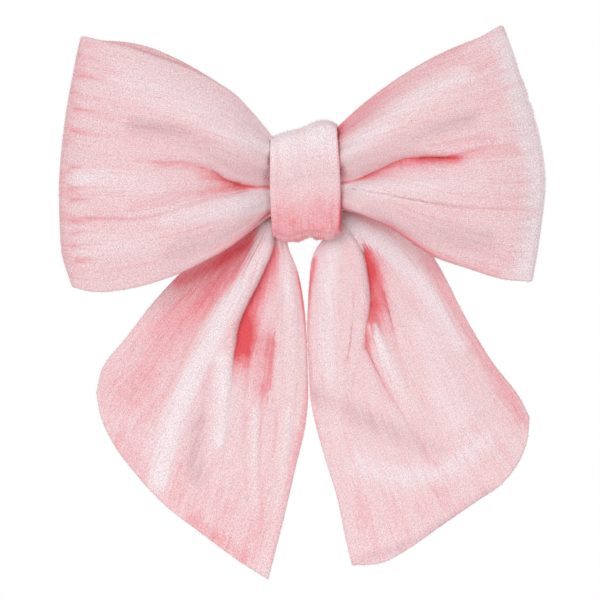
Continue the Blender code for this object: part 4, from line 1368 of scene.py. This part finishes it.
PILE = pile_tree()
PILE_FINISH = pile_finish()
PILE_VALUES = {
    "Density": 2.6e6,  # hairs to a square metre
    "Hair Length": 0.5 * MM,
    "Hair Radius": 0.045 * MM,
    "Tip": 0.7,
    "Material": PILE_FINISH,
}


def pile(piece, seed):
    return grown(piece.name + "_pile", piece.data.copy(), PILE, dict(PILE_VALUES, Seed=seed))


left_loop_pile = pile(left_loop, 1)
right_loop_pile = pile(right_loop, 2)
left_tail_pile = pile(left_tail, 3)
right_tail_pile = pile(right_tail, 4)
knot_pile = pile(knot_piece, 5)

# %% [markdown]
# ## The clip's metal
# A hair clip is pressed from thin steel strip and plated with nickel. The plating is bright but never
# perfect: the rolling marks of the strip show through as fine lines along it, it is worn duller in
# patches, and handling leaves small scratches. One shader group gives all three, and each kind of steel
# sets its own amount.


# %% The clip's metal
def worn_plating_group():
    group, given, made = shader_group(
        "worn plating",
        [
            ("Place", "NodeSocketVector", None),
            ("Lines", "NodeSocketFloat", 1.0),
            ("Wear", "NodeSocketFloat", 1.0),
        ],
        [("Value", "NodeSocketFloat"), ("Roughness", "NodeSocketFloat"), ("Height", "NodeSocketFloat")],
    )
    place = given.outputs["Place"]
    rolled = add(group, "ShaderNodeMapping", None, Vector=place, Scale=(60, 2600, 4200)).outputs[0]
    lines = noise(group, rolled, 1.0, 3, 0.6)
    patches = noise(group, place, 220.0, 4, 0.65)
    askew = {"Rotation": (0.3, 0.8, 0.5), "Scale": (150, 3800, 1800)}
    crossed = add(group, "ShaderNodeMapping", None, Vector=place, **askew).outputs[0]
    scratch = ranged(group, noise(group, crossed, 1.0, 2, 0.5), 0.66, 0.72)
    worn = maths(group, "MULTIPLY", ranged(group, patches, 0.4, 0.75), given.outputs["Wear"])
    lined = maths(group, "MULTIPLY", maths(group, "MULTIPLY", lines, given.outputs["Lines"]), 0.12)
    rough = maths(group, "ADD", lined, maths(group, "MULTIPLY", worn, 0.14))
    rough = maths(group, "ADD", rough, maths(group, "MULTIPLY", scratch, 0.15))
    group.links.new(maths(group, "ADD", rough, 0.14), made.inputs["Roughness"])
    value = maths(group, "SUBTRACT", 1.0, maths(group, "MULTIPLY", maths(group, "ADD", worn, scratch), 0.06))
    group.links.new(value, made.inputs["Value"])
    group.links.new(maths(group, "ADD", lines, scratch), made.inputs["Height"])
    return group


WORN_PLATING = worn_plating_group()
print("worn plating has", len(WORN_PLATING.nodes), "nodes")


def steel(name, tone, lines, wear):
    material, tree, shader = new_material(name)
    values = {"Place": object_place(tree), "Lines": lines, "Wear": wear}
    plating = add(tree, "ShaderNodeGroup", {"node_tree": WORN_PLATING}, **values)
    dulled = mixed(tree, 1.0, tone, grey(tree, plating.outputs["Value"]), "MULTIPLY")
    tree.links.new(dulled, shader.inputs["Base Color"])
    tree.links.new(plating.outputs["Roughness"], shader.inputs["Roughness"])
    bumped(tree, shader, plating.outputs["Height"], 0.2, 0.01 * MM)
    shader.inputs["Metallic"].default_value = 1.0
    return material


NICKEL = steel("nickel_plate", colour(232, 229, 224), 1.0, 0.7)
SPRING = steel("spring_plate", colour(208, 210, 214), 1.3, 1.0)

# %% [markdown]
# ## The glue
# The bow sits on the clip in a bead of hot glue, which sets milky, soft-edged and faintly rippled.


# %% The glue
def glue_finish():
    material, tree, shader = new_material("hot_glue")
    ripple = noise(tree, object_place(tree), 900.0, 3, 0.5)
    milky = mixed(tree, ranged(tree, ripple, 0.3, 0.7), colour(226, 214, 190), colour(240, 232, 214))
    tree.links.new(milky, shader.inputs["Base Color"])
    tree.links.new(ranged(tree, ripple, 0.3, 0.7, 0.2, 0.38), shader.inputs["Roughness"])
    bumped(tree, shader, ripple, 0.4, 0.1 * MM)
    shader.inputs["Coat Weight"].default_value = 0.3
    return material


GLUE = glue_finish()
print("glue finish:", GLUE.name)

# %% [markdown]
# ## Finishes on the frame's own pieces
# The clip and the glue keep the frame's meshes, and only take a finish. The thick stamped parts are
# nickel on mild steel. The tension bar and the catch are tempered spring, which plates a little darker
# and shows its rolling lines more.

# %% Finishes on the frame's own pieces
NODE_FINISHES = {
    NICKEL: (
        "clip_base_plate",
        "hinge_bracket",
        "hinge_rivet",
        "hinge_pin",
        "tension_bar_pin",
        "clasp_lever",
        "catch_rivet",
    ),
    SPRING: ("tension_bar", "catch_base", "catch_prong_upper", "catch_prong_lower"),
    GLUE: ("glue_bed",),
}
for finish, names in NODE_FINISHES.items():
    for name in names:
        node = frame["nodes"][name]
        for held in node.material_slots:
            held.material = finish
    print(finish.name, "on", ", ".join(names))

# %% [markdown]
# ## The studio
# Pale cloth on a white sweep needs almost no contrast: a big soft key from the upper left shapes the
# lobes, and the surroundings fill the rest, a little warm, as light is that has bounced between pink
# folds. The floor is a plain pale disc whose edge fades into the surroundings. Two lights behind keep
# the clip readable from the back.

# %% The studio
WHITE = (1.0, 1.0, 1.0, 1.0)
AMBIENT = 0.5
FLOOR_HEIGHT = -0.13
FLOOR_RADIUS = 0.4

bpy.context.scene.view_settings.view_transform = "Standard"
world = bpy.data.worlds.new("studio")
bpy.context.scene.world = world
world.use_nodes = True
sky = world.node_tree
sky.nodes.clear()
sky_output = sky.nodes.new("ShaderNodeOutputWorld")
seen = add(sky, "ShaderNodeBackground", None, Color=WHITE, Strength=1.0)
fill = add(sky, "ShaderNodeBackground", None, Color=(1.0, 0.96, 0.965, 1.0), Strength=AMBIENT)
camera_ray = sky.nodes.new("ShaderNodeLightPath").outputs["Is Camera Ray"]
choose = add(sky, "ShaderNodeMixShader", None, in0=camera_ray, in1=fill.outputs[0], in2=seen.outputs[0])
sky.links.new(choose.outputs[0], sky_output.inputs[0])


def soft_light(name, place, target, size, power):
    lamp = bpy.data.lights.new(name, "AREA")
    lamp.shape = "DISK"
    lamp.size = size
    lamp.energy = power
    holder = bpy.data.objects.new(name, lamp)
    holder.location = place
    holder.rotation_euler = (Vector(target) - Vector(place)).to_track_quat("-Z", "Y").to_euler()
    bpy.context.scene.collection.objects.link(holder)


BOW_CENTRE = (0, CLOTH_PLANE, -0.02)
soft_light("key", (-0.4, -1.1, 0.3), BOW_CENTRE, 0.8, 6.1)
soft_light("front_fill", (0.7, -0.9, 0.05), BOW_CENTRE, 0.6, 1.7)
soft_light("back_left", (-0.6, 0.8, 0.5), BOW_CENTRE, 0.4, 5.0)
soft_light("back_right", (0.7, 0.7, 0.2), BOW_CENTRE, 0.5, 2.5)

floor_mesh = bpy.data.meshes.new("floor")
rim = bmesh.new()
bmesh.ops.create_circle(rim, cap_ends=True, segments=96, radius=FLOOR_RADIUS)
rim.to_mesh(floor_mesh)
rim.free()
floor_mesh.transform(Matrix.Translation((0, 0, FLOOR_HEIGHT)))
floor = bpy.data.objects.new("floor", floor_mesh)
bpy.context.scene.collection.objects.link(floor)
floor_finish, floor_tree, floor_shader = new_material("pale_floor")
floor_shader.inputs["Base Color"].default_value = colour(244, 243, 242)
floor_shader.inputs["Roughness"].default_value = 0.9
length = {"operation": "LENGTH"}
distance = add(floor_tree, "ShaderNodeVectorMath", length, in0=object_place(floor_tree)).outputs["Value"]
fading = ranged(floor_tree, distance, 0.5 * FLOOR_RADIUS, FLOOR_RADIUS, 1.0, 0.0)
floor_tree.links.new(fading, floor_shader.inputs["Alpha"])
floor.data.materials.append(floor_finish)

# %% [markdown]
# ## Riding on the frame
# The loops, the knot, their pile, the threads, the gathered middle and the seams of the loops and the knot
# never move, and are tied to the bow's body. A tail swings about the line where it leaves the knot, but its
# cloth, pile and seam here only have their placement baked into the mesh, and the frame's plain tail is
# hidden.

STILL_PIECES = {
    left_loop: ("bow_band",),
    right_loop: ("bow_band",),
    left_loop_pile: (),
    right_loop_pile: (),
    knot_piece: ("knot_band",),
    knot_pile: (),
    bow_winding: ("bow_gather_thread",),
    tail_gather: ("tails_pinch",),
    tail_winding: ("tail_gather_thread",),
    left_loop_seam: (),
    right_loop_seam: (),
    knot_seam: ("knot_seam_thread",),
}
for piece, stands_for in STILL_PIECES.items():
    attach(piece, "bow")
    if stands_for:
        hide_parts(*stands_for)

for side_name, pieces in {
    "left": (left_tail, left_tail_pile, left_tail_seam),
    "right": (right_tail, right_tail_pile, right_tail_seam),
}.items():
    for piece in pieces:
        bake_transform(piece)
    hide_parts("tail_" + side_name)
